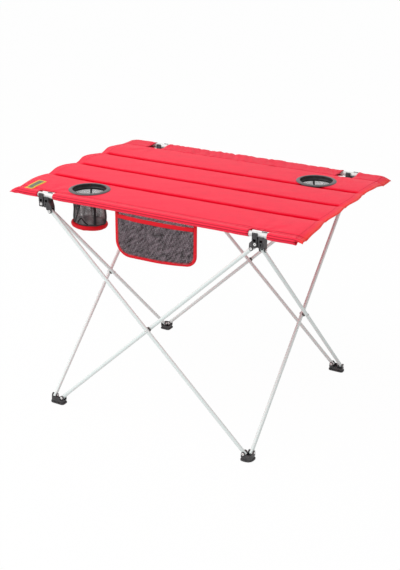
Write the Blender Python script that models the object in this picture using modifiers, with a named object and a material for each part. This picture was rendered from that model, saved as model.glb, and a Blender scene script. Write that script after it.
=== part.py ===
"""Folding camp table: a red fabric top on two poles, held by a four-sided scissor frame.

Metres, +Z up. The origin is on the floor under the middle of the table, +X runs along the
long side and -Y is the front, where the mesh pocket hangs. Each corner has a hub that grips
a pole and a foot on the floor. Between two corners a pair of crossed tubes makes a scissor,
so the four scissors open and fold together.
"""
import math

import bmesh
import bpy
from mathutils import Matrix, Vector

# Overall sizes
TABLE_LENGTH = 0.750
TABLE_DEPTH = 0.540
TABLE_HEIGHT = 0.551
FIT = 0.0003

# Fabric top and the two poles in its sleeves
FABRIC_WALL = 0.0012
PANEL_CROWN = 0.0012
PANEL_COUNT = 4
FRONT_SEAM_INSET = 0.0245
REAR_SEAM_INSET = 0.0565
GROOVE_WIDTH = 0.008
GROOVE_DEPTH = 0.0006
GROOVE_END_INSET = 0.017
SCALLOP_DEPTH = 0.005
HEM_INSET = 0.015
NOTCH_SHIFT = -0.0025
NOTCH_WIDTH = 0.043
NOTCH_FRONT_INSET = 0.0190
NOTCH_REAR_INSET = 0.0585
POLE_RADIUS = 0.006
POLE_WALL = 0.001
POLE_END_INSET = 0.024
CAP_HEAD = 0.003
CAP_PLUG = 0.012

# Scissor frame
REACH_X = 0.0185
REACH_Y = 0.0060
HUB_PIN_DROP = 0.0335
FOOT_PIN_Z = 0.018
LEG_RADIUS = 0.0045
LEG_WALL = 0.0009
LEG_STUB = 0.005
LEG_PLANE_OFFSET = 0.0057

# Moulded hubs and feet
LUG_WALL = 0.0025
LUG_RADIUS = 0.005
LUG_SWING_GAP = 0.0072
CLIP_LENGTH = 0.027
CLIP_WALL = 0.0032
CLIP_TIP_RISE = 0.0055
CLIP_THROAT = 0.0104
CLIP_SLOT = 0.003
CLIP_WINDOW = 0.0065
CLIP_WINDOW_HEIGHT = 0.0058
CLIP_FLOOR = 0.0018
CLIP_LOW_FINGER = -0.0025
HUB_NECK_DROP = 0.012
HUB_YOKE_WALL = 0.0045
HUB_GROOVE_DEPTH = 0.0024
HUB_SLIT_X = 0.0070
HUB_SLIT_WIDTH = 0.0018
HUB_SLIT_DROPS = (0.0165, 0.0215)
SOLE_MARGIN = 0.0022
SOLE_WALL = 0.004
SOLE_EASE = 0.0008
SOLE_LEFT_CORNER = 0.009
SOLE_RIGHT_CORNER = 0.015
SOLE_TAPER = 0.6
SOLE_CORNER = 0.006
FOOT_WALL_DROP = 0.0010
FOOT_WALL_LAP = 0.0008
FOOT_WALL_INSET = 0.0002
FOOT_WALL_EASE = 0.0005

# Rivets and washers
RIVET_RADIUS = 0.002
RIVET_HEAD_RADIUS = 0.0034
RIVET_HEAD = 0.0012
SPACER_RADIUS = 0.0060
SPACER_CUP = 0.0020

# Cup holders, set in from the hub's middle along x and from the table's edge along y
FRONT_CUP_INSETS = (0.0760, 0.0755)
REAR_CUP_INSETS = (0.0445, 0.1295)
RING_RADIUS = 0.049
RING_BORE_RADIUS = 0.0392
RING_WALL = 0.0014
RING_HEIGHT = 0.0028
RING_SLEEVE = 0.012
CUP_WALL = 0.001
CUP_RADIUS = 0.0385
CUP_DEPTH = 0.0730
PAD_RADIUS = 0.0435
PAD_HEIGHT = 0.0115

# Mesh pocket below the front sleeve
POCKET_LEFT_X = -0.085
POCKET_RIGHT_X = 0.125
POCKET_DROP = 0.105
POCKET_LEFT_CORNER = 0.038
POCKET_RIGHT_CORNER = 0.026
POCKET_BINDING_INSET = 0.0100
POCKET_BINDING_WALL = 0.0034
POCKET_BULGE = 0.0075
MESH_WALL = 0.0008
BINDING_WIDTH = 0.009
BAND_DROP = 0.0050
BAND_HEIGHT = 0.0100
BAND_WALL = 0.0012

# Places worked out from the sizes above
SLEEVE_INNER_RADIUS = POLE_RADIUS + FIT
SLEEVE_OUTER_RADIUS = SLEEVE_INNER_RADIUS + FABRIC_WALL
POLE_Y = TABLE_DEPTH / 2 - SLEEVE_OUTER_RADIUS
POLE_Z = TABLE_HEIGHT - SLEEVE_OUTER_RADIUS
SHEET_UNDER_Z = TABLE_HEIGHT - PANEL_CROWN - FABRIC_WALL
SLEEVE_BOTTOM_Z = POLE_Z - SLEEVE_OUTER_RADIUS
FRONT_SEAM_Y = FRONT_SEAM_INSET - TABLE_DEPTH / 2
REAR_SEAM_Y = TABLE_DEPTH / 2 - REAR_SEAM_INSET
NOTCH_FRONT_Y = NOTCH_FRONT_INSET - TABLE_DEPTH / 2
NOTCH_REAR_Y = TABLE_DEPTH / 2 - NOTCH_REAR_INSET
POCKET_BINDING_Y = POCKET_BINDING_INSET - TABLE_DEPTH / 2
POCKET_BOTTOM_Z = SLEEVE_BOTTOM_Z - POCKET_DROP
# The scissors have the same span both ways, so the depth also sets the hubs' place in x
PIN_HALF = POLE_Y - REACH_Y
HUB_X = PIN_HALF + REACH_X
NOTCH_X = HUB_X + NOTCH_SHIFT
CUP_CENTRES = {
    "front_left": (FRONT_CUP_INSETS[0] - HUB_X, FRONT_CUP_INSETS[1] - TABLE_DEPTH / 2),
    "rear_right": (HUB_X - REAR_CUP_INSETS[0], TABLE_DEPTH / 2 - REAR_CUP_INSETS[1]),
}
HUB_PIN_Z = POLE_Z - HUB_PIN_DROP
LEG_RISE = HUB_PIN_Z - FOOT_PIN_Z
LEG_ANGLE = math.atan2(2 * PIN_HALF, LEG_RISE)
LEG_SPAN = LEG_RISE / math.cos(LEG_ANGLE)
PIVOT_Z = (HUB_PIN_Z + FOOT_PIN_Z) / 2
PANEL_DEPTH = (REAR_SEAM_Y - FRONT_SEAM_Y) / PANEL_COUNT
LUG_INNER = LEG_RADIUS + FIT
LUG_OUTER = LUG_INNER + LUG_WALL
STUB_REACH = math.hypot(LEG_STUB, LEG_RADIUS)
PIN_HOLE_RADIUS = RIVET_RADIUS + FIT
CUP_STEPS = 30
ROUND_STEPS = 20
SMALL_STEPS = 14
RIVET_STEPS = 8

# Colours as sRGB fractions, roughness, metallic
FINISHES = {
    "fabric": ((0.93, 0.17, 0.22), 0.85, 0.0),
    "pole": ((0.86, 0.86, 0.85), 0.35, 0.9),
    "leg": ((0.80, 0.80, 0.78), 0.35, 0.9),
    "moulding": ((0.14, 0.14, 0.14), 0.55, 0.0),
    "ring": ((0.22, 0.22, 0.22), 0.45, 0.0),
    "spacer": ((0.12, 0.12, 0.12), 0.60, 0.0),
    "rivet": ((0.88, 0.88, 0.87), 0.30, 1.0),
    "cup_mesh": ((0.45, 0.45, 0.46), 0.80, 0.0),
    "pocket_mesh": ((0.33, 0.31, 0.34), 0.80, 0.0),
    "binding": ((0.85, 0.08, 0.12), 0.80, 0.0),
}


def clear_scene():
    for scene_object in list(bpy.data.objects):
        bpy.data.objects.remove(scene_object, do_unlink=True)


def new_collection(name):
    collection = bpy.data.collections.new(name)
    bpy.context.scene.collection.children.link(collection)
    return collection


def linear(channel):
    if channel <= 0.04045:
        return channel / 12.92
    return ((channel + 0.055) / 1.055) ** 2.4


def make_material(name):
    colour, roughness, metallic = FINISHES[name]
    material = bpy.data.materials.new(name)
    material.use_nodes = True
    shader = material.node_tree.nodes["Principled BSDF"]
    shader.inputs["Base Color"].default_value = [linear(c) for c in colour] + [1.0]
    shader.inputs["Roughness"].default_value = roughness
    shader.inputs["Metallic"].default_value = metallic
    return material


clear_scene()
PARTS = new_collection("folding_camp_table")
CUTTERS = new_collection("cutters")
MATERIALS = {name: make_material(name) for name in FINISHES}


def mesh_from_bmesh(name, bm):
    bmesh.ops.recalc_face_normals(bm, faces=bm.faces)
    mesh = bpy.data.meshes.new(name)
    bm.to_mesh(mesh)
    bm.free()
    return mesh


def bake(source, name):
    """The evaluated mesh of an object, welded, after which the object is removed."""
    bpy.context.view_layer.update()
    depsgraph = bpy.context.evaluated_depsgraph_get()
    mesh = bpy.data.meshes.new_from_object(source.evaluated_get(depsgraph))
    bpy.data.objects.remove(source, do_unlink=True)
    bm = bmesh.new()
    bm.from_mesh(mesh)
    bmesh.ops.remove_doubles(bm, verts=bm.verts, dist=1e-6)
    bm.to_mesh(mesh)
    bm.free()
    mesh.name = name
    return mesh


def add_object(name, mesh, collection, matrix=None):
    item = bpy.data.objects.new(name, mesh)
    collection.objects.link(item)
    if matrix is not None:
        item.matrix_world = matrix
    if collection is CUTTERS:
        item.hide_render = True
        item.display_type = "WIRE"
    return item


def add_part(name, mesh, finish, matrix=None, pivot=None):
    """One node of the table, parented to the empty on its joint's axis."""
    if not mesh.materials:
        mesh.materials.append(MATERIALS[finish])
    mesh.shade_smooth()
    mesh.set_sharp_from_angle(angle=math.radians(35))
    part = add_object(name, mesh, PARTS, matrix)
    if pivot is not None:
        part.parent = pivot
        part.matrix_parent_inverse = pivot.matrix_world.inverted()
    return part


def add_pivot(name, location):
    pivot = bpy.data.objects.new(name, None)
    pivot.empty_display_size = 0.02
    PARTS.objects.link(pivot)
    pivot.location = location
    bpy.context.view_layer.update()
    return pivot


def arc(centre, radius, start_deg, end_deg, steps):
    """Points on a circle from one angle to another, both ends included."""
    points = []
    for step in range(steps + 1):
        angle = math.radians(start_deg + (end_deg - start_deg) * step / steps)
        points.append((centre[0] + radius * math.cos(angle), centre[1] + radius * math.sin(angle)))
    return points


def outline(name, loops, thickness):
    """A flat outline in the XY plane, with any holes, extruded about that plane."""
    curve = bpy.data.curves.new(name, "CURVE")
    curve.dimensions = "2D"
    curve.fill_mode = "BOTH"
    curve.extrude = thickness / 2
    for loop in loops:
        spline = curve.splines.new("POLY")
        spline.points.add(len(loop) - 1)
        for point, (x, y) in zip(spline.points, loop):
            point.co = (x, y, 0.0, 1.0)
        spline.use_cyclic_u = True
    source = add_object(name, curve, CUTTERS)
    mesh = bake(source, name)
    bm = bmesh.new()
    bm.from_mesh(mesh)
    bmesh.ops.recalc_face_normals(bm, faces=bm.faces)
    bm.to_mesh(mesh)
    bm.free()
    return mesh


def turned(name, profile, steps=ROUND_STEPS, closed=False):
    """A profile of (radius, z) points spun round Z by a Screw modifier."""
    mesh = bpy.data.meshes.new(name)
    vertices = [(radius, 0.0, z) for radius, z in profile]
    edges = [(index, index + 1) for index in range(len(profile) - 1)]
    if closed:
        edges.append((len(profile) - 1, 0))
    mesh.from_pydata(vertices, edges, [])
    source = add_object(name, mesh, CUTTERS)
    screw = source.modifiers.new("spin", "SCREW")
    screw.axis = "Z"
    screw.angle = 2 * math.pi
    screw.steps = steps
    screw.render_steps = steps
    screw.use_merge_vertices = True
    screw.merge_threshold = 1e-6
    return bake(source, name)


def cylinder(name, radius, length, steps=SMALL_STEPS):
    bm = bmesh.new()
    bmesh.ops.create_cone(bm, cap_ends=True, segments=steps, radius1=radius, radius2=radius,
                          depth=length)
    return mesh_from_bmesh(name, bm)


def box(name, low, high):
    bm = bmesh.new()
    size = Vector(high) - Vector(low)
    middle = (Vector(high) + Vector(low)) / 2
    place = Matrix.Translation(middle) @ Matrix.Diagonal(size.to_4d())
    bmesh.ops.create_cube(bm, size=1.0, matrix=place)
    return mesh_from_bmesh(name, bm)


def hull(name, points, bevel=0.0):
    """The convex solid round a set of points, with its edges rounded."""
    bm = bmesh.new()
    for point in points:
        bm.verts.new(point)
    result = bmesh.ops.convex_hull(bm, input=bm.verts)
    loose = set(result["geom_interior"]) | set(result["geom_unused"])
    bmesh.ops.delete(bm, geom=[item for item in loose if isinstance(item, bmesh.types.BMVert)],
                     context="VERTS")
    bmesh.ops.dissolve_limit(bm, angle_limit=math.radians(1), verts=bm.verts, edges=bm.edges)
    if bevel:
        bmesh.ops.bevel(bm, geom=bm.edges[:], offset=bevel, segments=1, profile=0.5,
                        affect="EDGES")
    bmesh.ops.triangulate(bm, faces=bm.faces)
    return mesh_from_bmesh(name, bm)


def combine(name, base, steps):
    """Boolean steps on a mesh: each is (operation, mesh, matrix)."""
    target = add_object(name, base, CUTTERS)
    tools = []
    for number, (operation, mesh, matrix) in enumerate(steps):
        tool = add_object(f"{name}_tool_{number}", mesh, CUTTERS, matrix)
        tools.append(tool)
        boolean = target.modifiers.new(f"{operation.lower()}_{number}", "BOOLEAN")
        boolean.operation = operation
        boolean.solver = "EXACT"
        boolean.object = tool
    mesh = bake(target, name)
    for tool in tools:
        bpy.data.objects.remove(tool, do_unlink=True)
    return mesh


# Matrices that stand an XY outline up, or lay a Z axis along X or Y
STAND_X = Matrix.Rotation(math.pi / 2, 4, "X")
STAND_Y = Matrix.Rotation(math.pi / 2, 4, "Z") @ STAND_X
ALONG_Y = Matrix.Rotation(math.pi / 2, 4, "X")
ALONG_X = Matrix.Rotation(math.pi / 2, 4, "Y")


def shift(x, y, z):
    return Matrix.Translation((x, y, z))


def tongue(name, pin, root_z, pin_z):
    """A lug: straight sides from its root, and a round end about the pin."""
    hanging = root_z > pin_z
    start, end = (180, 360) if hanging else (180, 0)
    round_end = arc((pin, pin_z), LUG_RADIUS, start, end, 6)
    return [(pin - LUG_RADIUS, root_z)] + round_end + [(pin + LUG_RADIUS, root_z)]


def clevis_steps(name, along, plane, pin, root_z, pin_z):
    """Two lugs either side of a tube's plane, and the pin hole through both."""
    steps = []
    stand = STAND_X if along == "x" else STAND_Y
    for number, side in enumerate((-1, 1)):
        lug = outline(f"{name}_lug_{number}", [tongue(name, pin, root_z, pin_z)], LUG_WALL)
        offset = plane + side * (LUG_INNER + LUG_WALL / 2)
        place = shift(0, offset, 0) if along == "x" else shift(offset, 0, 0)
        steps.append(("UNION", lug, place @ stand))
    hole = cylinder(f"{name}_hole", PIN_HOLE_RADIUS, 4 * LUG_OUTER, RIVET_STEPS)
    if along == "x":
        steps.append(("DIFFERENCE", hole, shift(pin, plane, pin_z) @ ALONG_Y))
    else:
        steps.append(("DIFFERENCE", hole, shift(plane, pin, pin_z) @ ALONG_X))
    return steps


def clevis_footprint(along, plane, pin):
    """The corners of the rectangle that a clevis covers, seen from above."""
    near, far = sorted((pin - LUG_RADIUS, pin + LUG_RADIUS))
    corners = [(p, plane + q) for p in (near, far) for q in (-LUG_OUTER, LUG_OUTER)]
    return corners if along == "x" else [(q, p) for p, q in corners]


def clip_outline():
    """Cross-section of the snap clip in (y, z), open at the top round the pole."""
    seat = POLE_RADIUS + FIT
    half = seat + CLIP_WALL
    lip = math.degrees(math.acos(CLIP_THROAT / 2 / seat))
    seat_arc = arc((0, 0), seat, lip, -180 - lip, 14)
    lead_in = CLIP_TIP_RISE - seat * math.sin(math.radians(lip))
    throat = CLIP_THROAT / 2
    return (
        [(half - 0.0008, CLIP_TIP_RISE), (throat + lead_in, CLIP_TIP_RISE)]
        + seat_arc
        + [(-throat - lead_in, CLIP_TIP_RISE), (-half + 0.0008, CLIP_TIP_RISE)]
        + [(-half, CLIP_TIP_RISE - 0.002), (-half, -HUB_NECK_DROP - 0.002)]
        + [(half, -HUB_NECK_DROP - 0.002), (half, CLIP_TIP_RISE - 0.002)]
    )


def build_hub(name, inward_x, x_plane, y_plane):
    """A corner hub about the pole's axis: a two-column clip above, two clevises below."""
    pin_x = inward_x * REACH_X
    pin_y = REACH_Y
    half = POLE_RADIUS + FIT + CLIP_WALL
    neck = [(x, y) for x in (-CLIP_LENGTH / 2, CLIP_LENGTH / 2) for y in (-half, half)]
    feet = clevis_footprint("x", x_plane, pin_x) + clevis_footprint("y", y_plane, pin_y)
    yoke_low = -HUB_PIN_DROP + LUG_SWING_GAP
    yoke_high = yoke_low + HUB_YOKE_WALL
    points = [(x, y, -HUB_NECK_DROP) for x, y in neck]
    points += [(x, y, z) for x, y in neck + feet for z in (yoke_low, yoke_high)]
    yoke = hull(f"{name}_yoke", points, bevel=0.0007)
    clip = outline(f"{name}_clip", [clip_outline()], CLIP_LENGTH)
    steps = [("UNION", clip, Matrix(((0, 0, 1, 0), (1, 0, 0, 0), (0, 1, 0, 0), (0, 0, 0, 1))))]
    root_z = yoke_low + HUB_YOKE_WALL / 2
    steps += clevis_steps(f"{name}_x", "x", x_plane, pin_x, root_z, -HUB_PIN_DROP)
    steps += clevis_steps(f"{name}_y", "y", y_plane, pin_y, root_z, -HUB_PIN_DROP)
    slot_bottom = -(POLE_RADIUS + FIT + CLIP_FLOOR)
    slot = box(f"{name}_slot", (-CLIP_SLOT / 2, -half * 2, slot_bottom),
               (CLIP_SLOT / 2, half * 2, CLIP_TIP_RISE * 2))
    steps.append(("DIFFERENCE", slot, None))
    # The tall fingers are staggered: one column grips from the front, the other from behind
    for side in (-1, 1):
        low = (min(0, side * CLIP_LENGTH), min(0, -side * half * 2), CLIP_LOW_FINGER)
        high = (max(0, side * CLIP_LENGTH), max(0, -side * half * 2), CLIP_TIP_RISE * 2)
        steps.append(("DIFFERENCE", box(f"{name}_low_finger", low, high), None))
    for side in (-1, 1):
        middle = side * (CLIP_LENGTH + CLIP_SLOT) / 4
        low = (middle - CLIP_WINDOW / 2, -half * 2, slot_bottom - CLIP_WINDOW_HEIGHT)
        high = (middle + CLIP_WINDOW / 2, half * 2, slot_bottom)
        steps.append(("DIFFERENCE", box(f"{name}_window", low, high), None))
    # A groove parts the two columns in front, and one column is slit through
    groove = box(f"{name}_groove", (-CLIP_SLOT / 2, -half * 2, -HUB_PIN_DROP * 2),
                 (CLIP_SLOT / 2, HUB_GROOVE_DEPTH - half, slot_bottom + FIT))
    steps.append(("DIFFERENCE", groove, None))
    slit = box(f"{name}_slit",
               (HUB_SLIT_X - HUB_SLIT_WIDTH / 2, -half * 2, -HUB_SLIT_DROPS[1]),
               (HUB_SLIT_X + HUB_SLIT_WIDTH / 2, half * 2, -HUB_SLIT_DROPS[0]))
    steps.append(("DIFFERENCE", slit, None))
    return combine(name, yoke, steps)


def rounded_rectangle(low, high, radii, steps=3):
    """Corner radii run from the low corner, anticlockwise."""
    corners = [((low[0], low[1]), (1, 1), 180), ((high[0], low[1]), (-1, 1), 270),
               ((high[0], high[1]), (-1, -1), 0), ((low[0], high[1]), (1, -1), 90)]
    points = []
    for (corner, inward, start), radius in zip(corners, radii):
        centre = (corner[0] + inward[0] * radius, corner[1] + inward[1] * radius)
        points += arc(centre, radius, start, start + 90, steps)
    return points


def build_foot(name, inward_x, x_plane, y_plane, outer_corner):
    """A foot on the floor: a lipped sole, a block, a rounded wall and two upward clevises."""
    pin_x = inward_x * REACH_X
    # The wall clears the end of the y tube as that tube swings
    wall_in_y = min(x_plane - LUG_INNER, REACH_Y - STUB_REACH - 2 * FIT)
    wall_in_x = y_plane - inward_x * LUG_INNER
    wall_end = inward_x * (REACH_X - LUG_RADIUS + FOOT_WALL_LAP)
    feet = clevis_footprint("x", x_plane, pin_x) + clevis_footprint("y", y_plane, REACH_Y)
    feet.append((0.0, wall_in_y - LUG_WALL))
    low = [min(point[axis] for point in feet) for axis in (0, 1)]
    high = [max(point[axis] for point in feet) for axis in (0, 1)]
    block_top = FOOT_PIN_Z - LUG_SWING_GAP
    radii = [outer_corner, SOLE_CORNER, SOLE_CORNER, SOLE_CORNER]
    if inward_x < 0:
        radii = [radii[1], radii[0], radii[2], radii[3]]
    sole_loop = rounded_rectangle([c - SOLE_MARGIN for c in low], [c + SOLE_MARGIN for c in high], radii)
    top_loop = rounded_rectangle(low, high, [r * SOLE_TAPER for r in radii])
    eased = rounded_rectangle([c - SOLE_MARGIN + SOLE_EASE for c in low],
                              [c + SOLE_MARGIN - SOLE_EASE for c in high], radii)
    block = hull(f"{name}_block", [(x, y, 0.0) for x, y in eased]
                 + [(x, y, SOLE_EASE) for x, y in sole_loop]
                 + [(x, y, SOLE_WALL) for x, y in sole_loop])
    tower = hull(f"{name}_tower", [(x, y, SOLE_WALL / 2) for x, y in top_loop]
                 + [(x, y, block_top) for x, y in top_loop])
    wall_out_x = wall_in_x - inward_x * (LUG_WALL - FOOT_WALL_INSET)
    wall_low = (min(wall_end, wall_out_x), wall_in_y - LUG_WALL + FOOT_WALL_INSET)
    wall_high = (max(wall_end, wall_out_x), REACH_Y)
    wall_bottom = (SOLE_WALL + block_top) / 2
    wall_radius = outer_corner * SOLE_TAPER
    wall_radii = [wall_radius, FOOT_WALL_EASE, FOOT_WALL_EASE, FOOT_WALL_EASE]
    hollow_radii = [wall_radius - LUG_WALL, FOOT_WALL_EASE, FOOT_WALL_EASE, FOOT_WALL_EASE]
    if inward_x < 0:
        wall_radii = [wall_radii[1], wall_radii[0], wall_radii[2], wall_radii[3]]
        hollow_radii = [hollow_radii[1], hollow_radii[0], hollow_radii[2], hollow_radii[3]]
    wall_loop = rounded_rectangle(wall_low, wall_high, wall_radii)
    wall = hull(f"{name}_wall", [(x, y, z) for x, y in wall_loop
                                 for z in (wall_bottom, FOOT_PIN_Z - FOOT_WALL_DROP)])
    far = 4 * SOLE_RIGHT_CORNER
    hollow_x = sorted((wall_in_x - inward_x * FOOT_WALL_INSET, inward_x * far))
    hollow_loop = rounded_rectangle((hollow_x[0], wall_in_y - FOOT_WALL_INSET), (hollow_x[1], far),
                                    hollow_radii)
    hollow = hull(f"{name}_hollow", [(x, y, z) for x, y in hollow_loop
                                     for z in (block_top - FOOT_WALL_LAP, far)])
    wall = combine(f"{name}_wall", wall, [("DIFFERENCE", hollow, None)])
    steps = [("UNION", tower, None), ("UNION", wall, None)]
    steps += clevis_steps(f"{name}_x", "x", x_plane, pin_x, block_top - 0.002, FOOT_PIN_Z)
    steps += clevis_steps(f"{name}_y", "y", y_plane, REACH_Y, block_top - 0.002, FOOT_PIN_Z)
    return combine(name, block, steps)


def build_leg():
    """One scissor tube along Z from its foot pin, drilled at both ends and at the pivot."""
    top = LEG_SPAN + LEG_STUB
    bore = LEG_RADIUS - LEG_WALL
    profile = [(LEG_RADIUS, top), (LEG_RADIUS, -LEG_STUB), (bore, -LEG_STUB), (bore, top)]
    tube = turned("leg", profile, SMALL_STEPS, closed=True)
    steps = []
    for height in (0.0, LEG_SPAN / 2, LEG_SPAN):
        hole = cylinder("leg_hole", PIN_HOLE_RADIUS, 4 * LEG_RADIUS, RIVET_STEPS)
        steps.append(("DIFFERENCE", hole, shift(0, 0, height) @ ALONG_Y))
    return combine("leg", tube, steps)


def build_rivet(name, grip):
    """A rivet along Z about its middle, with a domed head at each end."""
    shoulder = grip / 2 + FIT
    upper = [(0.0, shoulder + RIVET_HEAD)]
    for angle in (50, 0):
        turn = math.radians(angle)
        upper.append((RIVET_HEAD_RADIUS * math.cos(turn), shoulder + RIVET_HEAD * math.sin(turn)))
    upper.append((RIVET_RADIUS, shoulder))
    lower = [(radius, -z) for radius, z in reversed(upper)]
    return turned(name, upper + lower, RIVET_STEPS)


def build_spacer():
    """A washer between two crossed tubes, cupped over the one that lies along X below it."""
    gap = 2 * LEG_PLANE_OFFSET - 2 * LEG_RADIUS
    top = gap / 2 - FIT
    bottom = -gap / 2 - SPACER_CUP
    hole = PIN_HOLE_RADIUS
    profile = [(SPACER_RADIUS - 0.0004, top), (SPACER_RADIUS, top - 0.0004), (SPACER_RADIUS, bottom),
               (hole, bottom), (hole, top)]
    washer = turned("spacer", profile, ROUND_STEPS, closed=True)
    groove = cylinder("spacer_groove", LEG_RADIUS + FIT, 4 * SPACER_RADIUS, ROUND_STEPS)
    place = shift(0, 0, -LEG_PLANE_OFFSET) @ ALONG_X
    return combine("spacer", washer, [("DIFFERENCE", groove, place)])


LEGS = {
    # The hub and foot that a leg joins, the axis of its pins, and where it hinges
    "front_leg_inner": ("front_right", "front_left", "y", "foot"),
    "front_leg_outer": ("front_left", "front_right", "y", "cross"),
    "right_leg_inner": ("rear_right", "front_right", "x", "foot"),
    "right_leg_outer": ("front_right", "rear_right", "x", "cross"),
    "rear_leg_outer": ("rear_right", "rear_left", "y", "foot"),
    "rear_leg_inner": ("rear_left", "rear_right", "y", "cross"),
    "left_leg_outer": ("rear_left", "front_left", "x", "foot"),
    "left_leg_inner": ("front_left", "rear_left", "x", "cross"),
}
CORNERS = {
    "front_left": (-1, -1),
    "front_right": (1, -1),
    "rear_right": (1, 1),
    "rear_left": (-1, 1),
}


def tube_planes(corner):
    """World y of the x tube and world x of the y tube at a corner's hub, then at its foot."""
    sx, sy = CORNERS[corner]
    outward = LEG_PLANE_OFFSET if sx == sy else -LEG_PLANE_OFFSET
    hub = (sy * (POLE_Y + outward), sx * (HUB_X - outward))
    foot = (sy * (POLE_Y - outward), sx * (HUB_X + outward))
    return hub, foot


def add_corners():
    """Hubs, feet and their rivets, each on the pivot that its body turns about."""
    off = LEG_PLANE_OFFSET
    hubs = {True: build_hub("hub_left_hand", 1, -off, off),
            False: build_hub("hub_right_hand", -1, off, off)}
    feet = {True: build_foot("foot_left_hand", 1, off, -off, SOLE_LEFT_CORNER),
            False: build_foot("foot_right_hand", -1, -off, -off, SOLE_RIGHT_CORNER)}
    rivet = build_rivet("end_rivet", 2 * LUG_OUTER)
    for corner, (sx, sy) in CORNERS.items():
        facing = Matrix.Rotation(0.0 if sy < 0 else math.pi, 4, "Z")
        levels = zip(("hub", "foot"), (hubs, feet), (POLE_Z, 0.0), (HUB_PIN_Z, FOOT_PIN_Z),
                     tube_planes(corner))
        for level, meshes, base_z, pin_z, (x_plane, y_plane) in levels:
            x_pin = (sx * PIN_HALF, x_plane, pin_z)
            y_pin = (y_plane, sy * PIN_HALF, pin_z)
            pivot = add_pivot(f"{corner}_{level}_pivot", x_pin if sy < 0 else y_pin)
            place = shift(sx * HUB_X, sy * POLE_Y, base_z) @ facing
            add_part(f"{corner}_{level}", meshes[sx == sy], "moulding", place, pivot)
            add_part(f"{corner}_{level}_long_side_rivet", rivet, "rivet", shift(*x_pin) @ ALONG_Y, pivot)
            add_part(f"{corner}_{level}_short_side_rivet", rivet, "rivet", shift(*y_pin) @ ALONG_X, pivot)


def leg_matrix(hub_corner, foot_corner, normal):
    """From the leg's own frame, with Z up the tube and Y along its pins, to its place."""
    hub_x, hub_y = CORNERS[hub_corner]
    foot_x, foot_y = CORNERS[foot_corner]
    x_plane, y_plane = tube_planes(foot_corner)[1]
    if normal == "y":
        lean = LEG_ANGLE if hub_x > foot_x else -LEG_ANGLE
        return shift(foot_x * PIN_HALF, x_plane, FOOT_PIN_Z) @ Matrix.Rotation(lean, 4, "Y")
    lean = -LEG_ANGLE if hub_y > foot_y else LEG_ANGLE
    turn = Matrix.Rotation(lean, 4, "X") @ Matrix.Rotation(math.pi / 2, 4, "Z")
    return shift(y_plane, foot_y * PIN_HALF, FOOT_PIN_Z) @ turn


def add_legs():
    """Eight like tubes, with a rivet and a cupped washer where each pair crosses."""
    leg = build_leg()
    rivet = build_rivet("cross_rivet", 2 * (LEG_PLANE_OFFSET + LEG_RADIUS))
    spacer = build_spacer()
    for name, (hub_corner, foot_corner, normal, hinge) in LEGS.items():
        matrix = leg_matrix(hub_corner, foot_corner, normal)
        side = name.split("_")[0]
        outward = {"front": (0, -1), "rear": (0, 1), "left": (-1, 0), "right": (1, 0)}[side]
        if hinge == "foot":
            pivot = add_pivot(f"{name}_pivot", matrix.translation)
            centre = shift(outward[0] * HUB_X, outward[1] * POLE_Y, PIVOT_Z)
            along = ALONG_Y if normal == "y" else ALONG_X
            add_part(f"{side}_cross_rivet", rivet, "rivet", centre @ along, pivot)
            # The washer is cupped over this leg, so its flat side faces the other one
            middle = matrix @ Vector((0, 0, LEG_SPAN / 2))
            lift = (centre.translation - middle).normalized()
            up_tube = matrix.to_3x3() @ Vector((0, 0, 1))
            axes = Matrix((up_tube, lift.cross(up_tube), lift)).transposed()
            add_part(f"{side}_cross_spacer", spacer, "spacer",
                     centre @ axes.to_4x4(), pivot)
        else:
            pivot = add_pivot(f"{name}_pivot", matrix @ Vector((0, 0, LEG_SPAN / 2)))
        add_part(name, leg, "leg", matrix, pivot)


def sleeve_curve(seam_y, radius):
    """A sleeve's section about its pole, from the top round outside to its lower flap.

    Local points (outward, up) on a circle that the flap leaves along a tangent to the seam.
    """
    inward = POLE_Y - abs(seam_y)
    rise = SHEET_UNDER_Z - POLE_Z
    toward_seam = math.degrees(math.atan2(rise, -inward))
    leave = toward_seam + math.degrees(math.acos(radius / math.hypot(inward, rise))) - 360
    return arc((0, 0), radius, 90, leave, 14)


def sleeve_loops(seam_y, side):
    """The outer curve of one sleeve in (y, z), and the closed loop of the space inside it."""
    outer = sleeve_curve(seam_y, SLEEVE_OUTER_RADIUS)
    inner = sleeve_curve(seam_y, SLEEVE_INNER_RADIUS)
    inward = POLE_Y - abs(seam_y)
    flap = math.atan2(SHEET_UNDER_Z - POLE_Z - outer[-1][1], inward + outer[-1][0])
    band = math.atan2(PANEL_CROWN, inward)
    inset = FABRIC_WALL / math.sin(flap + band)
    apex = (-inward + inset, SHEET_UNDER_Z - POLE_Z + inset * math.tan(band))
    place = [(side * (POLE_Y + out), POLE_Z + up) for out, up in outer]
    hole = [(side * (POLE_Y + out), POLE_Z + up) for out, up in inner + [apex]]
    return place, hole


def crowned_line(height):
    """Points across the panels, from the front seam to the rear one."""
    points = []
    steps = 8
    for panel in range(PANEL_COUNT):
        for step in range(steps):
            share = step / steps
            y = FRONT_SEAM_Y + (panel + share) * PANEL_DEPTH
            points.append((y, height + PANEL_CROWN * 4 * share * (1 - share)))
    return points + [(REAR_SEAM_Y, height)]


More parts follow.
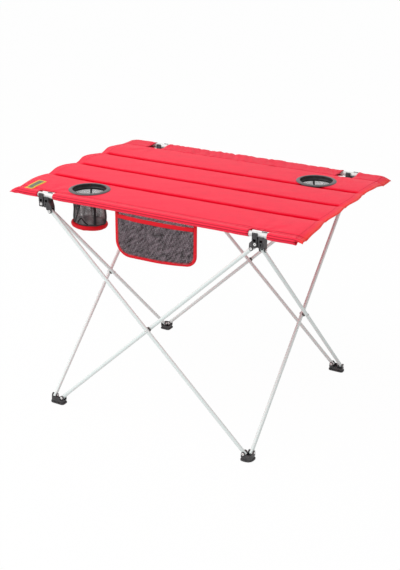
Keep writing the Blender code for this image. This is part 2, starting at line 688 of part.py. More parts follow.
def build_fabric():
    """The sewn top: four crowned panels, a pole sleeve along each long side, and cut-outs."""
    front, front_hole = sleeve_loops(FRONT_SEAM_Y, -1)
    rear, rear_hole = sleeve_loops(REAR_SEAM_Y, 1)
    seam_z = TABLE_HEIGHT - PANEL_CROWN
    section = list(reversed(front)) + crowned_line(seam_z) + rear
    section += list(reversed(crowned_line(seam_z - FABRIC_WALL)))
    sheet = outline("sheet", [section, front_hole, rear_hole], TABLE_LENGTH)
    spin = Matrix(((0, 0, 1, 0), (1, 0, 0, 0), (0, 1, 0, 0), (0, 0, 0, 1)))
    sheet.transform(spin)

    steps = []
    over = 0.02
    half = TABLE_LENGTH / 2
    for side in (-1, 1):
        edge = []
        rows = 8 * PANEL_COUNT
        for row in range(rows + 1):
            y = FRONT_SEAM_Y + PANEL_DEPTH * PANEL_COUNT * row / rows
            drawn_in = abs(math.cos(math.pi * (y - FRONT_SEAM_Y) / PANEL_DEPTH)) ** 3
            ends = 0.0 if 0 < row < rows else 1.0
            edge.append((side * (half - SCALLOP_DEPTH * drawn_in * (1 - ends)), y))
        beyond = side * (half + over)
        loop = [(beyond, -TABLE_DEPTH), (side * half, -TABLE_DEPTH)] + edge
        loop += [(side * half, TABLE_DEPTH), (beyond, TABLE_DEPTH)]
        trim = outline("scallop", [loop], 4 * over)
        steps.append(("DIFFERENCE", trim, shift(0, 0, TABLE_HEIGHT)))
        for seam_y, notch_y, sign in ((FRONT_SEAM_Y, NOTCH_FRONT_Y, -1), (REAR_SEAM_Y, NOTCH_REAR_Y, 1)):
            # Past the hem the sleeve stops, and the flat corner goes on
            ys = sorted((seam_y - sign * FABRIC_WALL, sign * TABLE_DEPTH))
            xs = sorted((side * (half - HEM_INSET), side * (half + over)))
            flap = box("sleeve_end", (xs[0], ys[0], SLEEVE_BOTTOM_Z - over),
                       (xs[1], ys[1], SHEET_UNDER_Z - 1e-5))
            steps.append(("DIFFERENCE", flap, None))
            ys = sorted((notch_y, sign * TABLE_DEPTH))
            xs = (side * NOTCH_X - NOTCH_WIDTH / 2, side * NOTCH_X + NOTCH_WIDTH / 2)
            notch = box("hub_notch", (xs[0], ys[0], SLEEVE_BOTTOM_Z - over),
                        (xs[1], ys[1], TABLE_HEIGHT + over))
            steps.append(("DIFFERENCE", notch, None))
    for x, y in CUP_CENTRES.values():
        hole = cylinder("cup_hole", RING_BORE_RADIUS + RING_WALL + FIT, 2 * over, CUP_STEPS)
        steps.append(("DIFFERENCE", hole, shift(x, y, TABLE_HEIGHT)))
    for seam in range(1, PANEL_COUNT):
        reach = half - GROOVE_END_INSET - GROOVE_WIDTH / 2
        loop = arc((reach, 0), GROOVE_WIDTH / 2, -90, 90, 6) + arc((-reach, 0), GROOVE_WIDTH / 2, 90, 270, 6)
        groove = outline("groove", [loop], over)
        y = FRONT_SEAM_Y + seam * PANEL_DEPTH
        steps.append(("DIFFERENCE", groove, shift(0, y, seam_z - GROOVE_DEPTH + over / 2)))
    return combine("fabric_top", sheet, steps)


def add_poles(pivot):
    """Two poles in the sleeves, each closed by a plug at both ends."""
    half = TABLE_LENGTH / 2 - POLE_END_INSET
    bore = POLE_RADIUS - POLE_WALL
    tube = turned("pole", [(POLE_RADIUS, half), (POLE_RADIUS, -half), (bore, -half), (bore, half)],
                  ROUND_STEPS, closed=True)
    plug = bore - FIT
    cap = turned("pole_cap", [(0.0, CAP_HEAD), (POLE_RADIUS - 0.001, CAP_HEAD),
                              (POLE_RADIUS, CAP_HEAD - 0.001), (POLE_RADIUS, FIT), (plug, FIT),
                              (plug, -CAP_PLUG), (0.0, -CAP_PLUG)], SMALL_STEPS)
    for side, sign in (("front", -1), ("rear", 1)):
        add_part(f"{side}_pole", tube, "pole", shift(0, sign * POLE_Y, POLE_Z) @ ALONG_X, pivot)
        for end, facing in (("left", -1), ("right", 1)):
            turn = Matrix.Rotation(facing * math.pi / 2, 4, "Y")
            add_part(f"{side}_pole_{end}_cap", cap, "moulding",
                     shift(facing * half, sign * POLE_Y, POLE_Z) @ turn, pivot)


def add_cup_holders(pivot):
    """A moulded ring through the top, a mesh cup under it and a padded base."""
    sleeve = RING_BORE_RADIUS + RING_WALL
    ring = turned("cup_ring", [
        (RING_BORE_RADIUS + 0.0015, RING_HEIGHT), (RING_RADIUS - 0.003, RING_HEIGHT),
        (RING_RADIUS - 0.0008, RING_HEIGHT * 0.7), (RING_RADIUS, FIT), (sleeve, FIT),
        (sleeve, -RING_SLEEVE), (RING_BORE_RADIUS, -RING_SLEEVE),
        (RING_BORE_RADIUS, RING_HEIGHT - 0.0015)], CUP_STEPS, closed=True)
    top = SHEET_UNDER_Z - TABLE_HEIGHT - FIT
    mouth = sleeve + FIT + CUP_WALL
    shoulder = -RING_SLEEVE - 0.002
    bottom = -CUP_DEPTH
    outside = [(mouth, top), (mouth, shoulder), (CUP_RADIUS, shoulder - 0.008),
               (CUP_RADIUS, bottom + 0.005), (CUP_RADIUS - 0.005, bottom), (0.0, bottom)]
    inside = [(0.0, bottom + CUP_WALL), (CUP_RADIUS - 0.005 - CUP_WALL * 0.4, bottom + CUP_WALL),
              (CUP_RADIUS - CUP_WALL, bottom + 0.005 + CUP_WALL * 0.4),
              (CUP_RADIUS - CUP_WALL, shoulder - 0.008), (mouth - CUP_WALL, shoulder),
              (mouth - CUP_WALL, top)]
    cup = turned("mesh_cup", outside + inside, CUP_STEPS, closed=True)
    pad_top = bottom - FIT
    pad_low = pad_top - PAD_HEIGHT
    bulge = PAD_HEIGHT / 2
    rim = arc((PAD_RADIUS - bulge, (pad_top + pad_low) / 2), bulge, 80, -80, 4)
    pad = turned("cup_pad", [(0.0, pad_top)] + rim + [(0.0, pad_low)], CUP_STEPS)
    for corner, (x, y) in CUP_CENTRES.items():
        place = shift(x, y, TABLE_HEIGHT)
        add_part(f"{corner}_cup_ring", ring, "ring", place, pivot)
        add_part(f"{corner}_mesh_cup", cup, "cup_mesh", place, pivot)
        add_part(f"{corner}_cup_base", pad, "binding", place, pivot)


def pocket_path(inset, top):
    """Down the left side of the pocket, round its bottom corners and up the right side."""
    left = POCKET_LEFT_X + inset
    right = POCKET_RIGHT_X - inset
    bottom = POCKET_BOTTOM_Z + inset
    left_corner = POCKET_LEFT_CORNER - inset
    right_corner = POCKET_RIGHT_CORNER - inset
    path = [(left, top)]
    path += arc((left + left_corner, bottom + left_corner), left_corner, 180, 270, 8)
    path += arc((right - right_corner, bottom + right_corner), right_corner, 270, 360, 8)
    return path + [(right, top)]


def pocket_bulge(x, z, top):
    """How far the front of the pocket stands out from its binding at a point."""
    middle = (POCKET_LEFT_X + POCKET_RIGHT_X) / 2
    half = (POCKET_RIGHT_X - POCKET_LEFT_X) / 2 - BINDING_WIDTH
    across = max(0.0, 1 - abs((x - middle) / half) ** 2.5)
    down = max(0.0, 1 - ((top - z) / (top - POCKET_BOTTOM_Z - BINDING_WIDTH)) ** 2)
    return POCKET_BULGE * across * down


def bulged_sheet(name, low, high, top, wall):
    """The pocket's front between two heights, as a thin shell that stands out in the middle."""
    inset = BINDING_WIDTH + FIT
    columns, rows = 14, max(2, round((high - low) / 0.009))
    bm = bmesh.new()
    bmesh.ops.create_grid(bm, x_segments=columns, y_segments=rows, size=1.0)
    path = pocket_path(inset, high)
    for vertex in bm.verts:
        z = low + (high - low) * (vertex.co.y + 1) / 2
        left, right = pocket_span(path, z)
        x = left + (right - left) * (vertex.co.x + 1) / 2
        front_y = POCKET_BINDING_Y - POCKET_BINDING_WALL / 2 + wall
        vertex.co = (x, front_y - pocket_bulge(x, z, top), z)
    mesh = mesh_from_bmesh(name, bm)
    source = add_object(name, mesh, CUTTERS)
    solid = source.modifiers.new("wall", "SOLIDIFY")
    solid.thickness = wall
    solid.offset = 0.0
    return bake(source, name)


def pocket_span(path, z):
    """The left and right limits of the pocket's outline at one height."""
    crossings = []
    for (x0, z0), (x1, z1) in zip(path, path[1:]):
        if min(z0, z1) - 1e-9 <= z <= max(z0, z1) + 1e-9 and abs(z1 - z0) > 1e-9:
            crossings.append(x0 + (x1 - x0) * (z - z0) / (z1 - z0))
    return min(crossings), max(crossings)


def add_pocket(pivot):
    """A flat mesh pocket: back, bulged front, bound edge and a band along its mouth."""
    top = SLEEVE_BOTTOM_Z - FIT
    outer = pocket_path(0.0, top)
    inner = pocket_path(BINDING_WIDTH, top)
    binding = outline("pocket_binding", [outer + list(reversed(inner))], POCKET_BINDING_WALL)
    add_part("pocket_binding", binding, "binding", shift(0, POCKET_BINDING_Y, 0) @ STAND_X, pivot)
    back = outline("pocket_back", [pocket_path(BINDING_WIDTH + FIT, top)], MESH_WALL)
    back_y = POCKET_BINDING_Y + POCKET_BINDING_WALL / 2 - MESH_WALL
    add_part("pocket_back_mesh", back, "pocket_mesh", shift(0, back_y, 0) @ STAND_X, pivot)
    band_top = top - BAND_DROP
    band_low = band_top - BAND_HEIGHT
    band = bulged_sheet("pocket_mouth_band", band_low, band_top, band_top, BAND_WALL)
    add_part("pocket_mouth_band", band, "binding", None, pivot)
    low = POCKET_BOTTOM_Z + BINDING_WIDTH + FIT
    front = bulged_sheet("pocket_front_mesh", low, band_low - FIT, band_top, MESH_WALL)
    add_part("pocket_front_mesh", front, "pocket_mesh", None, pivot)


def add_tabletop():
    """Everything that lifts off the frame together."""
    pivot = add_pivot("tabletop_pivot", (0, 0, TABLE_HEIGHT))
    add_part("fabric_top", build_fabric(), "fabric", None, pivot)
    add_poles(pivot)
    add_cup_holders(pivot)
    add_pocket(pivot)


add_corners()
add_legs()
add_tabletop()
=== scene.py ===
"""Looks of the folding camp table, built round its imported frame.

Metres, in the frame's own axes: +X along the long side, -Y the front, +Z up. The sections
follow the table as it is put together, from the feet up to the fabric top and its pocket.
"""
import math

import bmesh
import bpy
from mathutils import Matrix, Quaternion, Vector, noise


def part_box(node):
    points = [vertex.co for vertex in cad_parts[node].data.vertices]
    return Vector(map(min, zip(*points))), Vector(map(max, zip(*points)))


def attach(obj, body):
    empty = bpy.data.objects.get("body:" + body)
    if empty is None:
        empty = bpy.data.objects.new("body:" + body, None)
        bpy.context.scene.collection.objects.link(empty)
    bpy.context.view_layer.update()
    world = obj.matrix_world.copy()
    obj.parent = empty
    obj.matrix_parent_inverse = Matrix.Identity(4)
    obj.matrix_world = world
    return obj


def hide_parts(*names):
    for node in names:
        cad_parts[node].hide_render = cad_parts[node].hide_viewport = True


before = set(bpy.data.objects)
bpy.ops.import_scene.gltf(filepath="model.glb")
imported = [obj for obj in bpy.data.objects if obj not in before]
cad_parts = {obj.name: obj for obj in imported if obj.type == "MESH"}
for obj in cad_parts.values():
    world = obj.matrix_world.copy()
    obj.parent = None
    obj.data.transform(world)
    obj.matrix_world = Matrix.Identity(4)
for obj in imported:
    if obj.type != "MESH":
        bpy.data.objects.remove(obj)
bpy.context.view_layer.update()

# View, floor and light
# The photograph's view from the front right. A pale floor under a plain white surround takes
# one large soft lamp, so the colours show about as they are written.
PHOTO_HEIGHT = 570
FOCAL_PIXELS = 1023.9
SENSOR_WIDTH = 36.0
CAMERA_AZIMUTH = math.radians(28.83)
CAMERA_ELEVATION = math.radians(22.18)
CAMERA_ROLL = math.radians(0.51)
CAMERA_PLACE = (1.1349, -2.0794, 1.2482)
WHITE = (1, 1, 1, 1)
SURROUND_STRENGTH = 0.62
KEY_PLACE = Vector((-1.3, -1.6, 2.7))
KEY_AIM = Vector((0, 0, 0.4))
KEY_WATTS = 62.0
KEY_SIZE = 2.4
FLOOR_HALF = 30.0
FLOOR_PAINT = (0.9, 0.9, 0.9, 1)
FLOOR_SHOWN_WHITE = 0.975


def feed(node, inputs):
    """Sets a node's inputs, each to a value or by a link from a (node, output) pair."""
    for socket, given in inputs.items():
        if isinstance(given, tuple) and isinstance(given[0], bpy.types.Node):
            node.id_data.links.new(given[0].outputs[given[1]], node.inputs[socket])
        else:
            node.inputs[socket].default_value = given
    return node


def add_node(tree, kind, inputs=None, **settings):
    node = tree.nodes.new(kind)
    for setting, value in settings.items():
        setattr(node, setting, value)
    return feed(node, inputs or {})


def shown_ray(tree):
    """1 for the rays that show the surround itself: from the camera, a gloss or a clear pane."""
    path = add_node(tree, "ShaderNodeLightPath")
    first = add_node(tree, "ShaderNodeMath", {0: (path, "Is Camera Ray"), 1: (path, "Is Glossy Ray")},
                     operation="MAXIMUM")
    return add_node(tree, "ShaderNodeMath", {0: (first, 0), 1: (path, "Is Transmission Ray")},
                    operation="MAXIMUM")


def into_scene(name, data):
    placed = bpy.data.objects.new(name, data)
    bpy.context.scene.collection.objects.link(placed)
    return placed


camera_data = bpy.data.cameras.new("photo_view")
camera_data.sensor_width = SENSOR_WIDTH
camera_data.lens = FOCAL_PIXELS * SENSOR_WIDTH / PHOTO_HEIGHT
camera = into_scene("photo_view", camera_data)
toward_camera = Vector((math.sin(CAMERA_AZIMUTH) * math.cos(CAMERA_ELEVATION),
                        -math.cos(CAMERA_AZIMUTH) * math.cos(CAMERA_ELEVATION),
                        math.sin(CAMERA_ELEVATION)))
camera.location = CAMERA_PLACE
level_view = (-toward_camera).to_track_quat("-Z", "Y")
camera.rotation_euler = (level_view @ Quaternion((0, 0, 1), CAMERA_ROLL)).to_euler()
bpy.context.scene.camera = camera
bpy.context.scene.view_settings.view_transform = "Standard"

surround = bpy.data.worlds.new("surround")
surround.use_nodes = True
bpy.context.scene.world = surround
sky = surround.node_tree
lit = feed(sky.nodes["Background"], {"Strength": SURROUND_STRENGTH, "Color": WHITE})
shown = add_node(sky, "ShaderNodeBackground", {"Color": WHITE})
choice = add_node(sky, "ShaderNodeMixShader", {0: (shown_ray(sky), 0), 1: (lit, 0), 2: (shown, 0)})
feed(sky.nodes["World Output"], {"Surface": (choice, 0)})

floor_mesh = bpy.data.meshes.new("floor")
floor_mesh.from_pydata([(-FLOOR_HALF, -FLOOR_HALF, 0), (FLOOR_HALF, -FLOOR_HALF, 0),
                        (FLOOR_HALF, FLOOR_HALF, 0), (-FLOOR_HALF, FLOOR_HALF, 0)], [], [(0, 1, 2, 3)])
floor = into_scene("floor", floor_mesh)
floor_material = bpy.data.materials.new("floor_paint")
floor_material.use_nodes = True
floor_tree = floor_material.node_tree
floor_tree.nodes.clear()
paint = add_node(floor_tree, "ShaderNodeBsdfDiffuse", {"Color": FLOOR_PAINT})
glow = add_node(floor_tree, "ShaderNodeEmission")
share = add_node(floor_tree, "ShaderNodeMath", {0: (shown_ray(floor_tree), 0), 1: FLOOR_SHOWN_WHITE},
                 operation="MULTIPLY")
choice = add_node(floor_tree, "ShaderNodeMixShader", {0: (share, 0), 1: (paint, 0), 2: (glow, 0)})
add_node(floor_tree, "ShaderNodeOutputMaterial", {"Surface": (choice, 0)})
floor_mesh.materials.append(floor_material)

key_data = bpy.data.lights.new("key", "AREA")
key_data.energy = KEY_WATTS
key_data.size = KEY_SIZE
key = into_scene("key", key_data)
key.location = KEY_PLACE
key.rotation_euler = (KEY_AIM - KEY_PLACE).to_track_quat("-Z", "Y").to_euler()

# Corner hubs and feet
# Moulded in black glass-filled nylon, with a fine spark-eroded grain that scuffs paler. The
# shapes are the frame's own, with their moulded edges rounded off.
MOULDING_COLOUR = (0.024, 0.023, 0.025)
MOULDING_SCUFF = (0.060, 0.058, 0.060)
MOULDED_EDGE = 0.0005
EDGE_ANGLE = math.radians(32)
CORNERS = ("front_left", "front_right", "rear_right", "rear_left")


def new_material(name, roughness, metallic=0.0):
    """A material with its Principled shader and the coordinates that its pattern follows."""
    material = bpy.data.materials.new(name)
    material.use_nodes = True
    tree = material.node_tree
    shader = feed(tree.nodes["Principled BSDF"], {"Roughness": roughness, "Metallic": metallic})
    return material, tree, shader, add_node(tree, "ShaderNodeTexCoord")


def noise_pattern(tree, source, scale, detail):
    return add_node(tree, "ShaderNodeTexNoise", {"Scale": scale, "Detail": detail, "Vector": source})


def two_tone(tree, pattern, *stops):
    """Two colours along a pattern's value, each stop a position and a linear colour."""
    ramp = add_node(tree, "ShaderNodeValToRGB", {"Fac": (pattern, "Fac")})
    for element, (position, colour) in zip(ramp.color_ramp.elements, stops):
        element.position = position
        element.color = (*colour, 1)
    return ramp


def add_bump(tree, shader, height, strength, distance):
    bump = add_node(tree, "ShaderNodeBump", {"Strength": strength, "Distance": distance, "Height": height})
    feed(shader, {"Normal": (bump, "Normal")})


def moulding_material(name, colour, scuff, roughness):
    material, tree, shader, place = new_material(name, roughness)
    wear = noise_pattern(tree, (place, "Object"), 90.0, 6.0)
    feed(shader, {"Base Color": (two_tone(tree, wear, (0.38, colour), (0.72, scuff)), "Color")})
    grain = noise_pattern(tree, (place, "Object"), 2600.0, 2.0)
    add_bump(tree, shader, (grain, "Fac"), 0.35, 0.0002)
    return material


def finish_node(name, material, edge):
    """A frame part in its real finish, with its sharp edges rounded to a radius."""
    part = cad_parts[name]
    part.data.materials.clear()
    part.data.materials.append(material)
    weld = part.modifiers.new("weld", "WELD")
    weld.merge_threshold = 0.00001
    rounding = part.modifiers.new("moulded_edge", "BEVEL")
    rounding.width = edge
    rounding.segments = 2
    rounding.limit_method = "ANGLE"
    rounding.angle_limit = EDGE_ANGLE
    rounding.harden_normals = True


black_nylon = moulding_material("black_nylon", MOULDING_COLOUR, MOULDING_SCUFF, 0.48)
for corner in CORNERS:
    for level in ("hub", "foot"):
        finish_node(f"{corner}_{level}", black_nylon, MOULDED_EDGE)

# Scissor tubes
# Eight drawn aluminium tubes in a satin anodised finish, cut square with a small chamfer. The
# drawing leaves faint lines along each tube.
LEG_WALL = 0.0009
LEG_STUB = 0.005
TUBE_CHAMFER = 0.0004
TUBE_SIDES = 28
SHARP_ANGLE = math.radians(34)
METAL_SHARE = 0.06
LEG_COLOUR = (0.72, 0.79, 0.775)
LEG_PALER = (0.75, 0.82, 0.805)
DRAWN_LINES = (1200.0, 4.0, 1.0)
HAZE = (-0.02, 0.03)
# The corners at the left and right of each side, seen from outside, and the rivets it turns on
SIDES = {"front": ("front_left", "front_right", "long"), "right": ("front_right", "rear_right", "short"),
         "rear": ("rear_right", "rear_left", "long"), "left": ("rear_left", "front_left", "short")}


def middle(node):
    low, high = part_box(node)
    return (low + high) / 2


def add_piece(name, mesh, material):
    mesh.materials.append(material)
    return into_scene(name, mesh)


def new_shape():
    """An empty shape and its UV map."""
    bm = bmesh.new()
    return bm, bm.loops.layers.uv.new("UVMap")


def add_face(bm, uv, corners, places):
    for loop, place in zip(bm.faces.new(corners).loops, places):
        loop[uv].uv = place


def smooth_mesh(name, bm):
    mesh = bpy.data.meshes.new(name)
    bm.to_mesh(mesh)
    bm.free()
    mesh.shade_smooth()
    return mesh


def turned_piece(name, profile, start, end, sides, material, closed=True):
    """A profile of (radius, distance) points spun round the line from start to end.

    The UV map holds the turn and the distance, both in metres along the surface.
    """
    axis = (end - start).normalized()
    side = axis.orthogonal().normalized()
    across = axis.cross(side)
    bm, uv = new_shape()
    rings = []
    for radius, distance in profile:
        ring = []
        for step in range(sides):
            turn = 2 * math.pi * step / sides
            out = side * math.cos(turn) + across * math.sin(turn)
            ring.append(bm.verts.new(start + axis * distance + out * radius))
        rings.append(ring)
    pairs = list(zip(range(len(rings)), range(1, len(rings))))
    if closed:
        pairs.append((len(rings) - 1, 0))
    for one, two in pairs:
        for step in range(sides):
            after = (step + 1) % sides
            add_face(bm, uv, (rings[one][step], rings[one][after], rings[two][after], rings[two][step]),
                     [(2 * math.pi * profile[row][0] * turn / sides, profile[row][1])
                      for row, turn in ((one, step), (one, step + 1), (two, step + 1), (two, step))])
    bmesh.ops.remove_doubles(bm, verts=bm.verts, dist=1e-7)
    bmesh.ops.recalc_face_normals(bm, faces=bm.faces)
    mesh = smooth_mesh(name, bm)
    mesh.set_sharp_from_angle(angle=SHARP_ANGLE)
    return add_piece(name, mesh, material)


def tube_profile(radius, wall, length):
    bore, chamfered = radius - wall, radius - TUBE_CHAMFER
    return [(chamfered, 0.0), (radius, TUBE_CHAMFER), (radius, length - TUBE_CHAMFER),
            (chamfered, length), (bore, length), (bore, 0.0)]


def drawn_metal(name, colour, paler, roughness):
    """Satin metal with fine lines along the tube, read from its own UV map."""
    material, tree, shader, place = new_material(name, roughness, METAL_SHARE)
    stretch = add_node(tree, "ShaderNodeMapping", {"Scale": DRAWN_LINES, "Vector": (place, "UV")})
    lines = add_node(tree, "ShaderNodeTexNoise", {"Scale": 1.0, "Vector": (stretch, "Vector")})
    haze = add_node(tree, "ShaderNodeMapRange", {"Value": (lines, "Fac"), "To Min": roughness + HAZE[0],
                                                 "To Max": roughness + HAZE[1]})
    feed(shader, {"Base Color": (two_tone(tree, lines, (0.30, colour), (0.70, paler)), "Color"),
                  "Roughness": (haze, "Result")})
    add_bump(tree, shader, (lines, "Fac"), 0.02, 0.00002)
    return material


satin_leg = drawn_metal("satin_leg", LEG_COLOUR, LEG_PALER, 0.50)
for side, (left, right, reach) in SIDES.items():
    # The inner tube rises to the right and the outer one to the left
    for leg, foot, hub in ((f"{side}_leg_inner", left, right), (f"{side}_leg_outer", right, left)):
        foot_pin = middle(f"{foot}_foot_{reach}_side_rivet")
        hub_pin = middle(f"{hub}_hub_{reach}_side_rivet")
        up = (hub_pin - foot_pin).normalized()
        start, end = foot_pin - up * LEG_STUB, hub_pin + up * LEG_STUB
        # The pins run across the tube, so its box is as wide as the tube there
        low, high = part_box(leg)
        radius = min(high.x - low.x, high.y - low.y) / 2
        profile = tube_profile(radius, LEG_WALL, (end - start).length)
        tube = turned_piece(f"{leg}_tube", profile, start, end, TUBE_SIDES, satin_leg)
        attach(tube, leg)
        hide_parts(leg)

# Cupped washers
# A nylon washer at each crossing, hollowed to sit on one tube and flat against the other, so
# that the pair turns without rubbing.
WASHER_COLOUR = (0.085, 0.075, 0.070)
WASHER_SCUFF = (0.150, 0.135, 0.125)
WASHER_EDGE = 0.0002
washer_nylon = moulding_material("washer_nylon", WASHER_COLOUR, WASHER_SCUFF, 0.55)
for side in SIDES:
    finish_node(f"{side}_cross_spacer", washer_nylon, WASHER_EDGE)

# Rivets
# Hollow aluminium rivets, one through each tube end and each crossing. The manufactured head
# is a rolled ring round the bore, and the set end looks alike.
RIVET_SIDES = 20
RIVET_BORE = 0.0011
RIVET_SHAFT = 0.0020
RIVET_HEAD = 0.0012
RIVET_ROLL_STEPS = 4


def rivet_profile(length, head_radius, head_height):
    """Down the outside from one rolled head to the other, then back along the bore."""
    ring = (head_radius + RIVET_BORE) / 2
    head = [(RIVET_BORE, head_height / 2), (ring, 0.0)]
    for step in range(1, RIVET_ROLL_STEPS + 1):
        turn = math.pi / 2 * step / RIVET_ROLL_STEPS
        reach = (head_radius - RIVET_BORE) * math.sin(turn) * 0.5
        head.append((ring + reach, head_height * (1 - math.cos(turn))))
    head += [(head_radius, head_height), (RIVET_SHAFT, head_height)]
    return head + [(radius, length - distance) for radius, distance in reversed(head)]


rivet_metal = drawn_metal("rivet_metal", (0.72, 0.72, 0.71), (0.84, 0.84, 0.83), 0.26)
rivet_bodies = {f"{corner}_{level}": [f"{corner}_{level}_{reach}_side_rivet" for reach in ("long", "short")]
                for corner in CORNERS for level in ("hub", "foot")}
for side, leg in (("front", "front_leg_inner"), ("right", "right_leg_inner"),
                  ("rear", "rear_leg_outer"), ("left", "left_leg_outer")):
    rivet_bodies[leg] = [f"{side}_cross_rivet"]
for body, nodes in rivet_bodies.items():
    for node in nodes:
        low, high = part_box(node)
        size = high - low
        along = Vector((1, 0, 0)) if size.x > size.y else Vector((0, 1, 0))
        length = max(size.x, size.y)
        start = middle(node) - along * length / 2
        end = middle(node) + along * length / 2
        profile = rivet_profile(length, size.z / 2, RIVET_HEAD)
        rivet = turned_piece(f"{node}_ring", profile, start, end, RIVET_SIDES, rivet_metal)
        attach(rivet, body)
        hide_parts(node)

# Each hub's other column carries a rolled eyelet in its front, found by a ray onto the column
EYELET_SHIFT = 0.0062
EYELET_DROP = 0.0195
EYELET_RADIUS = 0.0034
EYELET_HEIGHT = 0.0011
EYELET_GRIP = 0.0010
HUB_X = 0.275
RAY_START = 0.05
pole_centre = middle("front_pole")
for corner in CORNERS:
    side_x = 1 if corner.endswith("right") else -1
    side_y = 1 if corner.startswith("rear") else -1
    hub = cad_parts[f"{corner}_hub"]
    inward = Vector((0, -side_y, 0))
    from_point = Vector((side_x * HUB_X + side_y * EYELET_SHIFT,
                         side_y * (abs(pole_centre.y) + RAY_START), pole_centre.z - EYELET_DROP))
    to_hub = hub.matrix_world.inverted()
    found, spot = hub.ray_cast(to_hub @ from_point, to_hub.to_3x3() @ inward)[:2]
    if not found:
        raise ValueError(f"no column in front of {corner}")
    spot = hub.matrix_world @ spot
    length = 2 * EYELET_HEIGHT + EYELET_GRIP
    profile = rivet_profile(length, EYELET_RADIUS, EYELET_HEIGHT)
    start = spot - inward * EYELET_HEIGHT
    eyelet = turned_piece(f"{corner}_hub_eyelet", profile, start, start + inward * length, RIVET_SIDES,
                          rivet_metal)
    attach(eyelet, f"{corner}_hub")

# Poles and their plugs
# Two brighter aluminium poles in the sleeves, which show white in the notches, with a black
# plug pressed into each end.
POLE_WALL = 0.001
POLE_SIDES = 36
PLUG_EDGE = 0.0003
bright_pole = drawn_metal("bright_pole", (0.68, 0.68, 0.67), (0.78, 0.78, 0.77), 0.40)
plug_nylon = moulding_material("plug_nylon", MOULDING_COLOUR, MOULDING_SCUFF, 0.5)
for side in ("front", "rear"):
    low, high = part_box(f"{side}_pole")
    centre = (low + high) / 2
    start = Vector((low.x, centre.y, centre.z))
    end = Vector((high.x, centre.y, centre.z))
    profile = tube_profile((high.z - low.z) / 2, POLE_WALL, high.x - low.x)
    pole = turned_piece(f"{side}_pole_tube", profile, start, end, POLE_SIDES, bright_pole)
    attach(pole, "tabletop")
    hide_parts(f"{side}_pole")
    for end_name in ("left", "right"):
        finish_node(f"{side}_pole_{end_name}_cap", plug_nylon, PLUG_EDGE)

# Fabric top
# One piece of red coated polyester, sewn into four panels between three stitched channels.
# It folds round a pole along each long side, and its short ends are hemmed and scalloped.
TOP_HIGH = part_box("fabric_top")[1]
TOP_HALF_LENGTH = TOP_HIGH.x
TOP_HEIGHT = TOP_HIGH.z
POLE_Y = middle("rear_pole").y
POLE_Z = middle("rear_pole").z
POLE_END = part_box("rear_pole_right_cap")[1].x
SLEEVE_RADIUS = TOP_HIGH.z - POLE_Z
CLOTH_WALL = 0.0009
FRONT_SEAM_Y = -0.2455
REAR_SEAM_Y = 0.2135
PANELS = 4
PANEL_DEPTH = (REAR_SEAM_Y - FRONT_SEAM_Y) / PANELS
CHANNELS = [FRONT_SEAM_Y + PANEL_DEPTH * number for number in range(1, PANELS)]
CHANNEL_HALF = 0.0082
CHANNEL_DEPTH = 0.0026
CHANNEL_END_INSET = 0.017
# The rolled edge of a channel starts inside its half width and ends outside it
EDGE_INSIDE = 0.0012
EDGE_OUTSIDE = 0.0006
CROWN = 0.0014
END_CROWN = 0.0040
SCALLOP_LEFT = 0.011
SCALLOP_RIGHT = 0.0065
SCALLOP_REACH = 0.075
CORNER_DROOP = 0.0045
FRONT_LEFT_DROOP = 0.0105
REAR_RIGHT_DROOP = 0.0095
HEM_WIDTH = 0.022
HEM_SHOWN = (0.015, 0.004)
NOTCH_X = 0.2725
NOTCH_HALF = 0.0215
NOTCH_FRONT_Y = -0.2510
NOTCH_REAR_Y = 0.2115
CUP_CENTRES = {corner: middle(f"{corner}_mesh_cup") for corner in ("front_left", "rear_right")}
CUP_HOLE_RADIUS = 0.0425
COLUMN_STEP = 0.0042
ROW_STEP = 0.0048
ROW_GAP = 0.0012
SLEEVE_FLAT_X = 0.358
SLEEVE_FLAT_RISE = 0.0035
SLEEVE_PINCH = 0.9
FLAP_STEPS = 5
ROLL_STEPS = 34
SEAM_DROP = 0.0012
FRONT_SEAM_LINES = (-0.2505, -0.2432)
SEAM_LINE_HALF = 0.0016
SEAM_LINE_DEPTH = 0.0011
ROLL_LINES = (math.radians(4), math.radians(44))
ROLL_LINE_HALF = 0.0009
REAR_SLEEVE_SHADE = 0.14
# How high the cloth's ripples stand
BROAD_RIPPLE = 0.00050
SMALL_RIPPLE = 0.00016
SLEEVE_GATHER = 0.0026
NOTCH_PULL = 0.00055
NOTCH_PULL_REACH = 0.035
LOOSE_END = 0.0012
SLEEVE_RIPPLE = 0.00025


def smooth_step(low, high, value):
    share = min(1.0, max(0.0, (value - low) / (high - low)))
    return share * share * (3 - 2 * share)


def ripple(height, x, y, z):
    return noise.noise(Vector((x, y, z))) * height


def channel_share(x, y):
    """1 in the floor of a stitched channel, falling to 0 past its rolled edge. It sets both the channel's
    depth and its painted shade.
    """
    nearest = min(abs(y - channel) for channel in CHANNELS)
    # The channel closes in a round end short of the hem
    past = max(0.0, abs(x) - (TOP_HALF_LENGTH - CHANNEL_END_INSET - CHANNEL_HALF))
    return 1 - smooth_step(CHANNEL_HALF - EDGE_INSIDE, CHANNEL_HALF + EDGE_OUTSIDE,
                           math.hypot(nearest, past))


def panel_crown(x, y):
    """How far a panel swells above its seams, more towards the short ends."""
    if not FRONT_SEAM_Y < y < REAR_SEAM_Y:
        return 0.0
    share = (y - FRONT_SEAM_Y) / PANEL_DEPTH % 1.0
    ends = smooth_step(0.62, 1.0, abs(x) / TOP_HALF_LENGTH)
    return (CROWN + (END_CROWN - CROWN) * ends) * (4 * share * (1 - share)) ** 0.7


